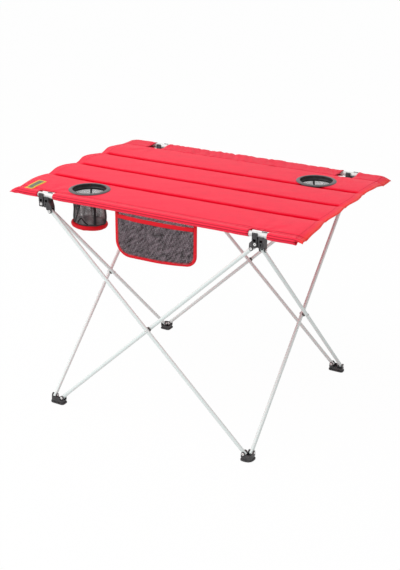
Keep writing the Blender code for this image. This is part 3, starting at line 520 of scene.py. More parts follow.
def wrinkles(x, y):
    """Faint pulls across the cloth, stronger near the hubs, the rear sleeve and the ends."""
    broad = ripple(BROAD_RIPPLE, x * 9 + y * 7, y * 26 - x * 15, 3.7)
    small = ripple(SMALL_RIPPLE, x * 38 + y * 12, y * 90 - x * 30, 8.1)
    rear = smooth_step(REAR_SEAM_Y - 0.012, REAR_SEAM_Y + 0.012, y)
    rear *= 1 - smooth_step(0.02, 0.10, abs(x) - 0.25)
    gather = ripple(SLEEVE_GATHER, x * 95 + y * 40, y * 18, 1.3) * rear
    pull = 0.0
    for side_x in (-NOTCH_X, NOTCH_X):
        for notch_y in (NOTCH_FRONT_Y, NOTCH_REAR_Y):
            away = Vector((x - side_x, y - notch_y))
            fan = math.sin(math.atan2(away.y, away.x) * 7)
            pull += fan * NOTCH_PULL * math.exp(-((away.length - NOTCH_PULL_REACH) / NOTCH_PULL_REACH) ** 2)
    ends = smooth_step(0.80, 1.0, abs(x) / TOP_HALF_LENGTH)
    return broad + small + gather + pull + ripple(LOOSE_END, x * 30, y * 24, 6.2) * ends


# The seam lines, where the cloth dips and a darker red is painted on as painted shade in the crease
def seam_line(y):
    nearest = min(abs(y - line) for line in (*FRONT_SEAM_LINES, REAR_SEAM_Y))
    return 1 - smooth_step(0.0, SEAM_LINE_HALF, nearest)


def roll_line(y, z):
    """1 on the two rows of stitching along the front of the front sleeve's roll, where a darker red is
    painted on as painted shade in the creases.
    """
    if y > 0:
        return 0.0
    turn = math.atan2(z - POLE_Z, -POLE_Y - y)
    nearest = min(abs(turn - line) for line in ROLL_LINES) * SLEEVE_RADIUS
    return 1 - smooth_step(ROLL_LINE_HALF * 0.4, ROLL_LINE_HALF * 1.5, nearest)


def drawn_in(x, y):
    """Where a point of the flat cut lies along X once the channels have drawn the ends in."""
    reach = smooth_step(TOP_HALF_LENGTH - SCALLOP_REACH, TOP_HALF_LENGTH, abs(x))
    depth = SCALLOP_LEFT if x < 0 else SCALLOP_RIGHT
    across = min(1.0, max(0.0, (y - FRONT_SEAM_Y) / (REAR_SEAM_Y - FRONT_SEAM_Y)))
    wave = abs(math.cos(math.pi * across * PANELS)) ** 2.2
    if y < FRONT_SEAM_Y + PANEL_DEPTH / 2 or y > REAR_SEAM_Y - PANEL_DEPTH / 2:
        wave = 0.0
    return x - math.copysign(depth * wave * reach, x)


def cloth_height(x, y):
    """Height of the top's upper face between the two poles."""
    share = max(abs(y) - min(abs(FRONT_SEAM_Y), abs(REAR_SEAM_Y)), 0.0) / 0.05
    low = TOP_HEIGHT - CROWN
    edge = smooth_step(FRONT_SEAM_Y + 0.002, -POLE_Y, y) if y < 0 else smooth_step(REAR_SEAM_Y, POLE_Y, y)
    height = low + CROWN * edge * min(1.0, share + 0.3)
    height += panel_crown(x, y) + wrinkles(x, y)
    height -= CHANNEL_DEPTH * channel_share(x, y)
    height -= SEAM_LINE_DEPTH * seam_line(y)
    past_pole = max(0.0, abs(x) - POLE_END) / (TOP_HALF_LENGTH - POLE_END)
    corner = smooth_step(0.12, 0.25, abs(y))
    droop = CORNER_DROOP
    if x > 0 and y > 0:
        droop = REAR_RIGHT_DROOP
    if x < 0 and y < 0:
        droop = FRONT_LEFT_DROOP
    return height - droop * past_pole ** 1.3 * corner


def sleeve_points(side, seam_y):
    """(y, z) from the seam's underside round the pole to the top, on the cloth's outer face."""
    inward = POLE_Y - abs(seam_y)
    rise = TOP_HEIGHT - CROWN - SEAM_DROP - POLE_Z
    toward_seam = math.atan2(rise, -inward)
    leave = toward_seam + math.acos(SLEEVE_RADIUS / math.hypot(inward, rise)) - 2 * math.pi
    tangent = (SLEEVE_RADIUS * math.cos(leave), SLEEVE_RADIUS * math.sin(leave))
    points = []
    for step in range(FLAP_STEPS):
        share = step / FLAP_STEPS
        points.append((-inward + (tangent[0] + inward) * share, rise + (tangent[1] - rise) * share))
    for step in range(ROLL_STEPS):
        turn = leave + (math.pi / 2 - leave) * step / ROLL_STEPS
        points.append((SLEEVE_RADIUS * math.cos(turn), SLEEVE_RADIUS * math.sin(turn)))
    return [(side * (POLE_Y + out), POLE_Z + up) for out, up in points]


def spaced(low, high, step, keep):
    """Even places from low to high, with the ones in keep among them."""
    count = max(1, round((high - low) / step))
    places = [low + (high - low) * number / count for number in range(count + 1)]
    fixed = sorted({round(value, 6) for value in keep if low < value < high})
    places = [p for p in places if all(abs(p - f) > step * 0.45 for f in fixed)]
    return sorted(places + fixed)


def cloth_columns():
    keep = []
    for side in (-1, 1):
        keep += [side * NOTCH_X - NOTCH_HALF, side * NOTCH_X + NOTCH_HALF, side * SLEEVE_FLAT_X]
        keep += [side * (TOP_HALF_LENGTH - inset) for inset in (HEM_WIDTH, CHANNEL_END_INSET, 0.002)]
    return spaced(-TOP_HALF_LENGTH, TOP_HALF_LENGTH, COLUMN_STEP, keep)


def cloth_rows():
    keep = [NOTCH_FRONT_Y, NOTCH_REAR_Y, *CHANNELS]
    for channel in CHANNELS:
        for offset in (-EDGE_INSIDE, -0.0003, 0.0008, 0.0026):
            keep += [channel - (CHANNEL_HALF + offset), channel + (CHANNEL_HALF + offset)]
    for line in (*FRONT_SEAM_LINES, REAR_SEAM_Y):
        keep += [line - SEAM_LINE_HALF, line, line + SEAM_LINE_HALF]
    places = sorted({round(value, 6) for value in keep})
    rows = [row for row in spaced(-POLE_Y, POLE_Y, ROW_STEP, [])
            if all(abs(row - place) > ROW_GAP for place in places)]
    return sorted(rows + places)


def cloth_place(x, y, z, on_top):
    """Where a point of the cut lies, on the top or round a pole."""
    if on_top:
        return (drawn_in(x, y), y, cloth_height(x, y))
    sag = cloth_height(x, math.copysign(POLE_Y, y)) - TOP_HEIGHT
    height = z + sag * 0.9 + ripple(SLEEVE_RIPPLE, x * 60, y * 40, z * 60)
    # Past the pole the front sleeve is pressed flat, to a point at the left corner
    pinch = SLEEVE_PINCH * smooth_step(POLE_END, TOP_HALF_LENGTH, -x) if y < 0 else 0.0
    return (x, y, height + (POLE_Z - SLEEVE_RADIUS * 0.55 - height) * pinch)


def cut_away(x, y, sleeve, lowest):
    """Whether no cloth lies here: in a notch, or under a sleeve's flat end."""
    in_notch = abs(abs(x) - NOTCH_X) < NOTCH_HALF
    if in_notch and (sleeve or y < NOTCH_FRONT_Y or y > NOTCH_REAR_Y):
        return True
    low_sleeve = sleeve and lowest < POLE_Z + SLEEVE_FLAT_RISE
    return low_sleeve and abs(x) > SLEEVE_FLAT_X and not (x < 0 and y < 0)


def open_cup_hole(bm, centre):
    for vertex in bm.verts:
        away = Vector((vertex.co.x - centre.x, vertex.co.y - centre.y))
        if abs(away.length - CUP_HOLE_RADIUS) < COLUMN_STEP * 0.55 and vertex.co.z > POLE_Z:
            snapped = away.normalized() * CUP_HOLE_RADIUS
            vertex.co.x, vertex.co.y = centre.x + snapped.x, centre.y + snapped.y
    inside = [face for face in bm.faces
              if (face.calc_center_median().xy - centre.xy).length < CUP_HOLE_RADIUS - 0.0004
              and face.calc_center_median().z > POLE_Z]
    bmesh.ops.delete(bm, geom=inside, context="FACES")


def build_cloth():
    """The cloth's outer face as a mesh, and its cut's length from the front edge to the rear."""
    columns = cloth_columns()
    path = [(y, z, False) for y, z in sleeve_points(-1, FRONT_SEAM_Y)]
    path += [(y, 0.0, True) for y in cloth_rows()]
    path += [(y, z, False) for y, z in reversed(sleeve_points(1, REAR_SEAM_Y))]
    bm, uv = new_shape()
    channel_shade_layer, seam_shade_layer, hem_layer = [bm.verts.layers.float.new(name)
                                            for name in ("channel", "seam", "hem")]
    grid, lengths = [], [0.0]
    for (y0, z0, top0), (y1, z1, top1) in zip(path, path[1:]):
        rise = 0.0 if top0 or top1 else z1 - z0
        lengths.append(lengths[-1] + math.hypot(y1 - y0, rise))
    for y, z, on_top in path:
        line = []
        for x in columns:
            vertex = bm.verts.new(cloth_place(x, y, z, on_top))
            # The channel attribute also carries painted shade, a deeper red on each channel's floor
            vertex[channel_shade_layer] = channel_share(x, y) if on_top else 0.0
            # The seam attribute is painted shade: a darker red along the seam lines and the roll's
            # stitching, and a little over the rear sleeve
            seam = seam_line(y) if on_top else roll_line(y, z)
            vertex[seam_shade_layer] = max(seam, REAR_SLEEVE_SHADE if y > REAR_SEAM_Y else 0.0)
            vertex[hem_layer] = smooth_step(TOP_HALF_LENGTH - HEM_SHOWN[0],
                                            TOP_HALF_LENGTH - HEM_SHOWN[1], x)
            line.append(vertex)
        grid.append(line)
    for row in range(len(path) - 1):
        (y0, z0, top0), (y1, z1, top1) = path[row], path[row + 1]
        for column in range(len(columns) - 1):
            x = (columns[column] + columns[column + 1]) / 2
            if cut_away(x, (y0 + y1) / 2, not (top0 and top1), min(z0, z1)):
                continue
            around = ((column, row), (column + 1, row), (column + 1, row + 1), (column, row + 1))
            add_face(bm, uv, [grid[down][across] for across, down in around],
                     [(columns[across], lengths[down]) for across, down in around])
    for centre in CUP_CENTRES.values():
        open_cup_hole(bm, centre)
    bmesh.ops.recalc_face_normals(bm, faces=bm.faces)
    if sum(face.normal.z for face in bm.faces if face.calc_center_median().z > POLE_Z) < 0:
        bmesh.ops.reverse_faces(bm, faces=bm.faces)
    return smooth_mesh("fabric_top_cloth", bm), lengths[-1]


def plain_mesh(piece):
    """Applies a piece's modifiers, so that only a plain mesh is left."""
    bpy.context.view_layer.update()
    graph = bpy.context.evaluated_depsgraph_get()
    mesh = bpy.data.meshes.new_from_object(piece.evaluated_get(graph))
    piece.modifiers.clear()
    piece.data = mesh
    return piece


def thicken(piece, thickness, offset):
    wall = piece.modifiers.new("wall", "SOLIDIFY")
    wall.thickness = thickness
    wall.offset = offset
    return plain_mesh(piece)


CLOTH_SHEEN = 0.08
CLOTH_GLOSS = 0.22
WAVE_TURNS = 2 * math.pi / 20


def cloth_material(name, colour, thread_pitch, channel_shade=None, seam_shade=None, pale=None):
    """Woven polyester. The weave follows the UV map, and three attributes mark the painted shade,
    deeper in the channels and darker along the seams, and where it is paler at the hem."""
    material, tree, shader, place = new_material(name, 0.62)
    feed(shader, {"Sheen Weight": CLOTH_SHEEN, "Sheen Roughness": 0.45,
                  "Specular IOR Level": CLOTH_GLOSS})
    mottle = noise_pattern(tree, (place, "UV"), 34.0, 4.0)
    darker = tuple(channel * 0.965 for channel in colour)
    lighter = tuple(min(1.0, channel * 1.03) for channel in colour)
    last = (two_tone(tree, mottle, (0.30, darker), (0.70, lighter)), "Color")
    for attribute_name, tint in (("channel", channel_shade), ("seam", seam_shade), ("hem", pale)):
        if tint is None:
            continue
        attribute = add_node(tree, "ShaderNodeAttribute", attribute_name=attribute_name)
        if attribute_name == "channel":
            # The floor of a channel is shaded from the sky, so its gloss and sheen fade out and its painted
            # shade keeps its full colour
            for socket, bare in (("Specular IOR Level", CLOTH_GLOSS), ("Sheen Weight", CLOTH_SHEEN)):
                fade = add_node(tree, "ShaderNodeMapRange",
                                {"Value": (attribute, "Fac"), "To Min": bare, "To Max": 0.0})
                feed(shader, {socket: (fade, "Result")})
        last = (add_node(tree, "ShaderNodeMix", {0: (attribute, "Fac"), 6: last, 7: (*tint, 1)},
                         data_type="RGBA"), 2)
    feed(shader, {"Base Color": last})
    threads = [add_node(tree, "ShaderNodeTexWave", {"Scale": WAVE_TURNS / thread_pitch,
                                                    "Vector": (place, "UV")},
                        wave_type="BANDS", bands_direction=direction) for direction in ("X", "Y")]
    weave = add_node(tree, "ShaderNodeMath", {0: (threads[0], "Fac"), 1: (threads[1], "Fac")},
                     operation="ADD")
    add_bump(tree, shader, (weave, 0), 0.25, 0.00008)
    return material


RED_CLOTH = (0.94, 0.021, 0.060)
# Painted shade: the deeper red laid on each channel's floor stands in for the shade down in the groove
RED_CHANNEL_SHADE = (0.70, 0.0, 0.014)
# Painted shade: the dark red along the seams, the roll's stitching and the rear sleeve stands in for the
# shade there
RED_SEAM_SHADE = (0.36, 0.0005, 0.012)
RED_HEM = (0.92, 0.042, 0.034)
red_polyester = cloth_material("red_polyester", RED_CLOTH, 0.0007, RED_CHANNEL_SHADE, RED_SEAM_SHADE, RED_HEM)
cloth_mesh, cut_width = build_cloth()
cloth = add_piece("fabric_top_cloth", cloth_mesh, red_polyester)
thicken(cloth, CLOTH_WALL, -1.0)
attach(cloth, "tabletop")
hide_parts("fabric_top")

# Stitching
# Lock stitches in matching thread along every seam of the top. A row of short threads
# follows each seam on the cloth's own face.
STITCH_LENGTH = 0.0026
STITCH_PITCH = 0.0036
STITCH_RADIUS = 0.00028
SEAM_OFFSET = 0.0016
CHANNEL_SEAM_INSET = 0.024
HEM_SEAMS = (0.003, HEM_WIDTH - 0.0025)
NOTCH_SEAM = 0.0022
CUP_SEAM_REACH = 0.0505
red_thread = cloth_material("red_thread", (0.62, 0.010, 0.026), 0.0004)


def thread_tree(name, **inputs):
    """A tree of geometry nodes with named inputs, the node that gives them and their sockets."""
    tree = bpy.data.node_groups.new(name, "GeometryNodeTree")
    sockets = {label: tree.interface.new_socket(name=label, in_out="INPUT",
                                                socket_type=f"NodeSocket{kind}").identifier
               for label, kind in inputs.items()}
    tree.interface.new_socket(name="Geometry", in_out="OUTPUT", socket_type="NodeSocketGeometry")
    return tree, tree.nodes.new("NodeGroupInput"), sockets


def finish_threads(tree, given, threads):
    """Ends a tree with plain threads in the given material."""
    real = add_node(tree, "GeometryNodeRealizeInstances", {"Geometry": threads})
    smooth = add_node(tree, "GeometryNodeSetShadeSmooth", {"Geometry": (real, "Geometry")})
    painted = add_node(tree, "GeometryNodeSetMaterial", {"Geometry": (smooth, "Geometry"),
                                                         "Material": (given, "Thread")})
    add_node(tree, "NodeGroupOutput", {"Geometry": (painted, "Geometry")})


def stitch_tree():
    """Short threads along the input's edges, laid end to end with a gap."""
    tree, given, sockets = thread_tree("stitch_row", Geometry="Geometry", Pitch="Float", Length="Float",
                                       Radius="Float", Thread="Material")
    lines = add_node(tree, "GeometryNodeMeshToCurve", {"Mesh": (given, "Geometry")})
    even = add_node(tree, "GeometryNodeResampleCurve",
                    {"Curve": (lines, "Curve"), "Length": (given, "Pitch")}, mode="LENGTH")
    thread = add_node(tree, "GeometryNodeMeshCylinder",
                      {"Vertices": 6, "Side Segments": 1, "Depth": (given, "Length"),
                       "Radius": (given, "Radius")})
    tangent = add_node(tree, "GeometryNodeInputTangent")
    turn = add_node(tree, "FunctionNodeAlignRotationToVector", {"Vector": (tangent, "Tangent")}, axis="Z")
    rows = add_node(tree, "GeometryNodeInstanceOnPoints",
                    {"Points": (even, "Curve"), "Instance": (thread, "Mesh"),
                     "Rotation": (turn, "Rotation")})
    finish_threads(tree, given, (rows, "Instances"))
    return tree, sockets


STITCHES = stitch_tree()


def laid_threads(name, points, edges, tree_and_sockets, **values):
    """The plain mesh that a tree of threads lays along edges between points."""
    tree, sockets = tree_and_sockets
    mesh = bpy.data.meshes.new(name)
    mesh.from_pydata(points, edges, [])
    piece = into_scene(name, mesh)
    modifier = piece.modifiers.new("threads", "NODES")
    modifier.node_group = tree
    for label, value in values.items():
        modifier[sockets[label]] = value
    return plain_mesh(piece)


def stitch(name, lines, thread, body):
    """Rows of stitches along polylines of world points, as one plain mesh on a body."""
    points, edges = [], []
    for line in lines:
        first = len(points)
        points += line
        edges += [(first + number, first + number + 1) for number in range(len(line) - 1)]
    row = laid_threads(name, points, edges, STITCHES, Pitch=STITCH_PITCH, Length=STITCH_LENGTH,
                       Radius=STITCH_RADIUS, Thread=thread)
    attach(row, body)
    return row


def line_on_cloth(x0, y0, x1, y1, step=0.006):
    count = max(2, round(math.hypot(x1 - x0, y1 - y0) / step))
    flat = [(x0 + (x1 - x0) * n / count, y0 + (y1 - y0) * n / count) for n in range(count + 1)]
    return [(drawn_in(x, y), y, cloth_height(x, y) + STITCH_RADIUS * 0.4) for x, y in flat]


def clear_of_notches(y, inset):
    """Stretches along X that a seam at this y runs over, between the notches."""
    end = TOP_HALF_LENGTH - inset
    if NOTCH_FRONT_Y < y < NOTCH_REAR_Y:
        return [(-end, end)]
    gap = NOTCH_HALF + 0.002
    return [(-end, -NOTCH_X - gap), (-NOTCH_X + gap, NOTCH_X - gap), (NOTCH_X + gap, end)]


def clear_of_cups(x0, x1, y):
    """The same stretch, cut where it would cross a cup ring."""
    spans = [(x0, x1)]
    for centre in CUP_CENTRES.values():
        if abs(y - centre.y) >= CUP_SEAM_REACH:
            continue
        half = math.sqrt(CUP_SEAM_REACH ** 2 - (y - centre.y) ** 2)
        cut = []
        for low, high in spans:
            if centre.x - half > low:
                cut.append((low, min(high, centre.x - half)))
            if centre.x + half < high:
                cut.append((max(low, centre.x + half), high))
        spans = cut
    return [(low, high) for low, high in spans if high - low > 0.01]


seam_rows = []
seam_end = TOP_HALF_LENGTH - CHANNEL_SEAM_INSET
for channel in CHANNELS:
    for offset in (-CHANNEL_HALF - SEAM_OFFSET, CHANNEL_HALF + SEAM_OFFSET):
        y = channel + offset
        seam_rows += [line_on_cloth(x0, y, x1, y) for x0, x1 in clear_of_cups(-seam_end, seam_end, y)]
for y in (*FRONT_SEAM_LINES, REAR_SEAM_Y):
    for low, high in clear_of_notches(y, 0.004):
        seam_rows += [line_on_cloth(x0, y, x1, y) for x0, x1 in clear_of_cups(low, high, y)]
for side_x in (-1, 1):
    for inset in HEM_SEAMS:
        x = side_x * (TOP_HALF_LENGTH - inset)
        seam_rows.append(line_on_cloth(x, -POLE_Y + 0.003, x, POLE_Y - 0.003))
    for y in (NOTCH_FRONT_Y + NOTCH_SEAM, NOTCH_REAR_Y - NOTCH_SEAM):
        x = side_x * NOTCH_X
        seam_rows.append(line_on_cloth(x - NOTCH_HALF, y, x + NOTCH_HALF, y, 0.003))
top_stitches = stitch("fabric_top_stitches", seam_rows, red_thread, "tabletop")

cut_area = 2 * TOP_HALF_LENGTH * cut_width
cut_area -= len(CUP_CENTRES) * math.pi * CUP_HOLE_RADIUS ** 2
front_notch = POLE_Y + NOTCH_FRONT_Y
rear_notch = POLE_Y - NOTCH_REAR_Y
sleeve_cut = (cut_width - 2 * POLE_Y) / 2
cut_area -= 4 * NOTCH_HALF * (front_notch + rear_notch + 2 * sleeve_cut)

# Corner patch
# A small woven patch with an overlocked yellow border, sewn flat near the front left corner.
# Its field is bare.
PATCH_LOW = (-0.342, -0.256)
PATCH_HIGH = (-0.320, -0.197)
PATCH_BORDER = 0.004
PATCH_RISE = 0.0007
FIELD_RISE = 0.0003
PATCH_WALL = 0.0005
PATCH_STEPS = (14, 28)
patch_yellow = cloth_material("patch_yellow", (0.72, 0.52, 0.055), 0.0009)
patch_field = cloth_material("patch_field", (0.16, 0.17, 0.13), 0.0006)


def patch_mesh(name, inset, rise):
    """A thin rounded pad that follows the cloth under it."""
    low = (PATCH_LOW[0] + inset, PATCH_LOW[1] + inset)
    high = (PATCH_HIGH[0] - inset, PATCH_HIGH[1] - inset)
    bm, uv = new_shape()
    steps_x, steps_y = PATCH_STEPS
    verts = []
    for row in range(steps_y + 1):
        line = []
        for column in range(steps_x + 1):
            x = low[0] + (high[0] - low[0]) * column / steps_x
            y = low[1] + (high[1] - low[1]) * row / steps_y
            edge = min(column, steps_x - column, row, steps_y - row)
            lift = rise * (0.35 if edge == 0 else 1.0)
            line.append(bm.verts.new((x, y, cloth_height(x, y) + lift)))
        verts.append(line)
    for row in range(steps_y):
        for column in range(steps_x):
            corners = (verts[row][column], verts[row][column + 1],
                       verts[row + 1][column + 1], verts[row + 1][column])
            add_face(bm, uv, corners, [corner.co.xy for corner in corners])
    return smooth_mesh(name, bm)


for name, inset, rise, material in (("corner_patch_border", 0.0, PATCH_RISE, patch_yellow),
                                    ("corner_patch_field", PATCH_BORDER, PATCH_RISE + FIELD_RISE,
                                     patch_field)):
    patch = add_piece(name, patch_mesh(name, inset, rise), material)
    thicken(patch, PATCH_WALL, -1.0)
    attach(patch, "tabletop")

# Cup rings
# A moulded ring clamps the cloth round each hole: a satin grey flange above and a black
# sleeve below, with a shallow step where a can's base clears it.
RING_SIDES = 72
RING_BORE = 0.0392
RING_STEP = 0.0006
RING_FACE = (0.070, 0.068, 0.070)
RING_WALL_COLOUR = (0.012, 0.012, 0.013)
ring_grey = moulding_material("ring_grey", RING_FACE, (0.105, 0.102, 0.105), 0.40)
ring_black = moulding_material("ring_black", RING_WALL_COLOUR, (0.030, 0.029, 0.031), 0.42)


def flange_profile(bore, outer, top, under):
    """Section of the flange from its inner lip over the crown to its thin outer edge."""
    width = outer - bore
    points = [(bore, under), (bore, top - 0.0009), (bore + 0.0007, top - 0.0002)]
    for step in range(7):
        share = step / 6
        drop = (top - under) * 0.72 * share ** 2.4
        points.append((bore + 0.0016 + (width - 0.0019) * share, top - drop))
    return points + [(outer, under + 0.0003), (outer - 0.0003, under)]


def sleeve_profile(bore, top, low):
    """Section of the sleeve from its outer wall round the lower lip to the step in its bore."""
    return [(bore + 0.0014, top), (bore + 0.0014, low + 0.0002), (bore + 0.0009, low),
            (bore, low + 0.0006), (bore, low + 0.0052), (bore + RING_STEP, low + 0.0060),
            (bore + RING_STEP, top)]


for corner in CUP_CENTRES:
    low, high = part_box(f"{corner}_cup_ring")
    centre = (low + high) / 2
    base = Vector((centre.x, centre.y, 0.0))
    far = Vector((centre.x, centre.y, 1.0))
    profile = flange_profile(RING_BORE + RING_STEP, (high.x - low.x) / 2, high.z, TOP_HEIGHT + 0.0003)
    flange = turned_piece(f"{corner}_cup_flange", profile, base, far, RING_SIDES, ring_grey)
    profile = sleeve_profile(RING_BORE, high.z - 0.0012, low.z)
    sleeve = turned_piece(f"{corner}_cup_sleeve", profile, base, far, RING_SIDES, ring_black)
    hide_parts(f"{corner}_cup_ring")
    for piece in (flange, sleeve):
        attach(piece, "tabletop")

# Mesh cups
# Knitted polyester net sewn into a cup, hung from the ring's sleeve, with black tape down its
# seams and a padded red base. The knit is a honeycomb of single threads.
NET_PITCH = 0.0027
NET_THREAD = 0.00050
NET_UNEVEN = 0.0006
CUP_MOUTH = 0.0419
CUP_TAPER = 0.0045
CUP_CRUMPLE = 0.0022
CUP_TILT = 0.05
CUP_HANG = 0.004
TAPE_WIDTH = 0.0058
TAPE_THICKNESS = 0.0009
TAPE_CLEARANCE = 0.0006
TAPE_TURNS = (-39, 9, -131, 120)
TAPE_STEPS = 14
CUP_SEAM_WIDTH = 0.0022
CUP_SEAM_STEPS = 12
# Turns in degrees and shares of the way down, each from start to end
CUP_SEAMS = ((-119, -65, 0.95, 0.10), (-106, -85, 0.97, 0.78), (-85, -64, 0.78, 0.97))
STREAK_SCALE = 210.0
CUP_BOXES = {corner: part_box(f"{corner}_mesh_cup") for corner in CUP_CENTRES}


def honeycomb(width, height, pitch):
    """Points and edges of a honeycomb that fills a rectangle, its height along the second axis."""
    columns = max(3, round(width / pitch))
    rows = max(3, round(height / (pitch * 0.75)))
    points, edges, index = [], [], {}

    def point(column, row, upper):
        key = (column, row, upper)
        if key not in index:
            shift_x = 0.5 if row % 2 else 0.0
            x = (column + shift_x) * width / columns
            y = (row + (0.30 if upper else -0.02)) * height / rows
            index[key] = len(points)
            points.append((min(width, x), min(height, max(0.0, y))))
        return index[key]

    for row in range(rows + 1):
        for column in range(columns + 1):
            if row % 2 and column == columns:
                continue
            low, high = point(column, row, False), point(column, row, True)
            edges.append((low, high))
            if row < rows:
                near = column if row % 2 else column - 1
                last = columns - 1 if (row + 1) % 2 else columns
                edges += [(high, point(target, row + 1, False)) for target in (near, near + 1)
                          if 0 <= target <= last]
    return points, edges


def net_tree():
    """A round thread along every edge of the input."""
    tree, given, sockets = thread_tree("net_threads", Geometry="Geometry", Radius="Float",
                                       Thread="Material")
    lines = add_node(tree, "GeometryNodeMeshToCurve", {"Mesh": (given, "Geometry")})
    section = add_node(tree, "GeometryNodeCurvePrimitiveCircle",
                       {"Resolution": 4, "Radius": (given, "Radius")})
    threads = add_node(tree, "GeometryNodeCurveToMesh",
                       {"Curve": (lines, "Curve"), "Profile Curve": (section, "Curve")})
    finish_threads(tree, given, (threads, "Mesh"))
    return tree, sockets


NET = net_tree()


def knit(name, width, height, pitch, radius, wrap, thread, uneven):
    """A net whose flat points are laid on a surface by wrap(across, up)."""
    flat, edges = honeycomb(width, height, pitch)
    points = [Vector(wrap(across, up)) for across, up in flat]
    # Knitted loops are never quite even, which also keeps the two layers from beating together
    points = [point + noise.noise_vector(point * 900.0) * uneven for point in points]
    return laid_threads(name, points, edges, NET, Radius=radius, Thread=thread)


def thread_material(name, colour, paler, streaks=None):
    """Thread with an uneven tone, in slanted streaks where a length and a lean are given."""
    material, tree, shader, place = new_material(name, 0.7)
    source, scale = (place, "Object"), 60.0
    if streaks is not None:
        length, lean = streaks
        source = (add_node(tree, "ShaderNodeMapping", {"Rotation": (0.0, -lean, 0.0), "Vector": source,
                                                       "Scale": (length, 1.0, 1.0)},
                           vector_type="TEXTURE"), "Vector")
        scale = STREAK_SCALE
    tone = noise_pattern(tree, source, scale, 4.0)
    feed(shader, {"Sheen Weight": 0.15,
                  "Base Color": (two_tone(tree, tone, (0.35, colour), (0.65, paler)), "Color")})
    ply = noise_pattern(tree, (place, "Object"), 1800.0, 1.0)
    add_bump(tree, shader, (ply, "Fac"), 0.3, 0.0001)
    return material


cup_thread = thread_material("cup_thread", (0.055, 0.052, 0.056), (0.30, 0.295, 0.30))
black_tape = cloth_material("black_tape", (0.014, 0.013, 0.015), 0.0008)
red_tape = cloth_material("red_tape", (0.70, 0.003, 0.014), 0.0008)


def cup_place(corner, turn, share, out=0.0):
    """A point on a cup's wall: the turn in radians, and the share of the way down."""
    low, high = CUP_BOXES[corner]
    centre = (low + high) / 2
    radius = CUP_MOUTH - CUP_TAPER * smooth_step(0.10, 0.36, share)
    crumple = ripple(CUP_CRUMPLE, math.cos(turn) * 2.2, math.sin(turn) * 2.2, share * 3.1 + centre.x)
    radius += crumple * smooth_step(0.1, 0.5, share) * (1 - smooth_step(0.8, 1.0, share)) + out
    # The net stretches a little, and the base hangs tipped with its front edge the higher one
    z = high.z + (low.z - CUP_HANG - high.z) * share - CUP_TILT * radius * math.sin(turn) * share ** 2
    return (centre.x + radius * math.cos(turn), centre.y + radius * math.sin(turn), z)


def skin_rows(bm, uv, rows, pitch, closed):
    """Faces between rows of (vertices, distance along), a pitch apart across each row."""
    for (row, at), (after, to) in zip(rows, rows[1:]):
        for side in range(len(row) if closed else len(row) - 1):
            far = (side + 1) % len(row)
            near_u, far_u = side * pitch, (side + 1) * pitch
            add_face(bm, uv, (row[side], row[far], after[far], after[side]),
                     ((near_u, at), (far_u, at), (far_u, to), (near_u, to)))


def ribbon(name, points, outs, width_axis, width):
    """A flat black tape along points, its width along a fixed or given direction."""
    bm, uv = new_shape()
    rows, travelled = [], 0.0
    for number, (point, out) in enumerate(zip(points, outs)):
        if number:
            travelled += (Vector(point) - Vector(points[number - 1])).length
        ahead = Vector(points[min(number + 1, len(points) - 1)]) - Vector(points[max(number - 1, 0)])
        across = width_axis if width_axis is not None else ahead.normalized().cross(out).normalized()
        row = []
        for share in (-0.5, -0.42, 0.0, 0.42, 0.5):
            lift = TAPE_THICKNESS * (0.5 if abs(share) == 0.5 else 1.0)
            row.append(bm.verts.new(Vector(point) + across * width * share + Vector(out) * lift))
        rows.append((row, travelled))
    skin_rows(bm, uv, rows, width / 4, False)
    bmesh.ops.recalc_face_normals(bm, faces=bm.faces)
    return thicken(add_piece(name, smooth_mesh(name, bm), black_tape), TAPE_THICKNESS, 0.0)


for corner, (low, high) in CUP_BOXES.items():
    depth = high.z - low.z
    around = 2 * math.pi * CUP_MOUTH
    net = knit(f"{corner}_cup_net", around, depth, NET_PITCH, NET_THREAD,
               lambda across, up: cup_place(corner, 2 * math.pi * across / around, 1 - up / depth),
               cup_thread, NET_UNEVEN)
    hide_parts(f"{corner}_mesh_cup")
    tapes = []
    for number, degrees in enumerate(TAPE_TURNS):
        turn = math.radians(degrees)
        points = [cup_place(corner, turn, step / TAPE_STEPS, TAPE_CLEARANCE)
                  for step in range(TAPE_STEPS + 1)]
        out = Vector((math.cos(turn), math.sin(turn), 0))
        across = Vector((-math.sin(turn), math.cos(turn), 0))
        width = TAPE_WIDTH if degrees < 0 else TAPE_WIDTH * 0.7
        tapes.append(ribbon(f"{corner}_cup_tape_{number}", points, [out] * len(points), across, width))
    for number, (start_turn, end_turn, start_share, end_share) in enumerate(CUP_SEAMS):
        points, outs = [], []
        for step in range(CUP_SEAM_STEPS + 1):
            share = step / CUP_SEAM_STEPS
            turn = math.radians(start_turn + (end_turn - start_turn) * share)
            down = start_share + (end_share - start_share) * math.sin(share * math.pi / 2)
            points.append(cup_place(corner, turn, down, TAPE_CLEARANCE))
            outs.append(Vector((math.cos(turn), math.sin(turn), 0)))
        tapes.append(ribbon(f"{corner}_cup_seam_{number}", points, outs, None, CUP_SEAM_WIDTH))
    for piece in (net, *tapes):
        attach(piece, "tabletop")

# Padded cup bases
# A round foam pad in red cloth closes each cup. It sags a little to one side under its own
# weight, and a piped edge runs round it.
PAD_SAG = 0.0042
PAD_SHIFT = Vector((-0.003, 0, 0))
PAD_PUCKER = 0.0009
PAD_SIDES = 64
SHADE_LINING_SHARE = 0.86
SHADE_LINING_RISE = 0.0006
SHADE_LINING_WALL = 0.0014
# The dark cloth of this disc is painted shade for the inside of each cup
cup_shade_lining = cloth_material("cup_shade_lining", (0.060, 0.057, 0.062), 0.0006)


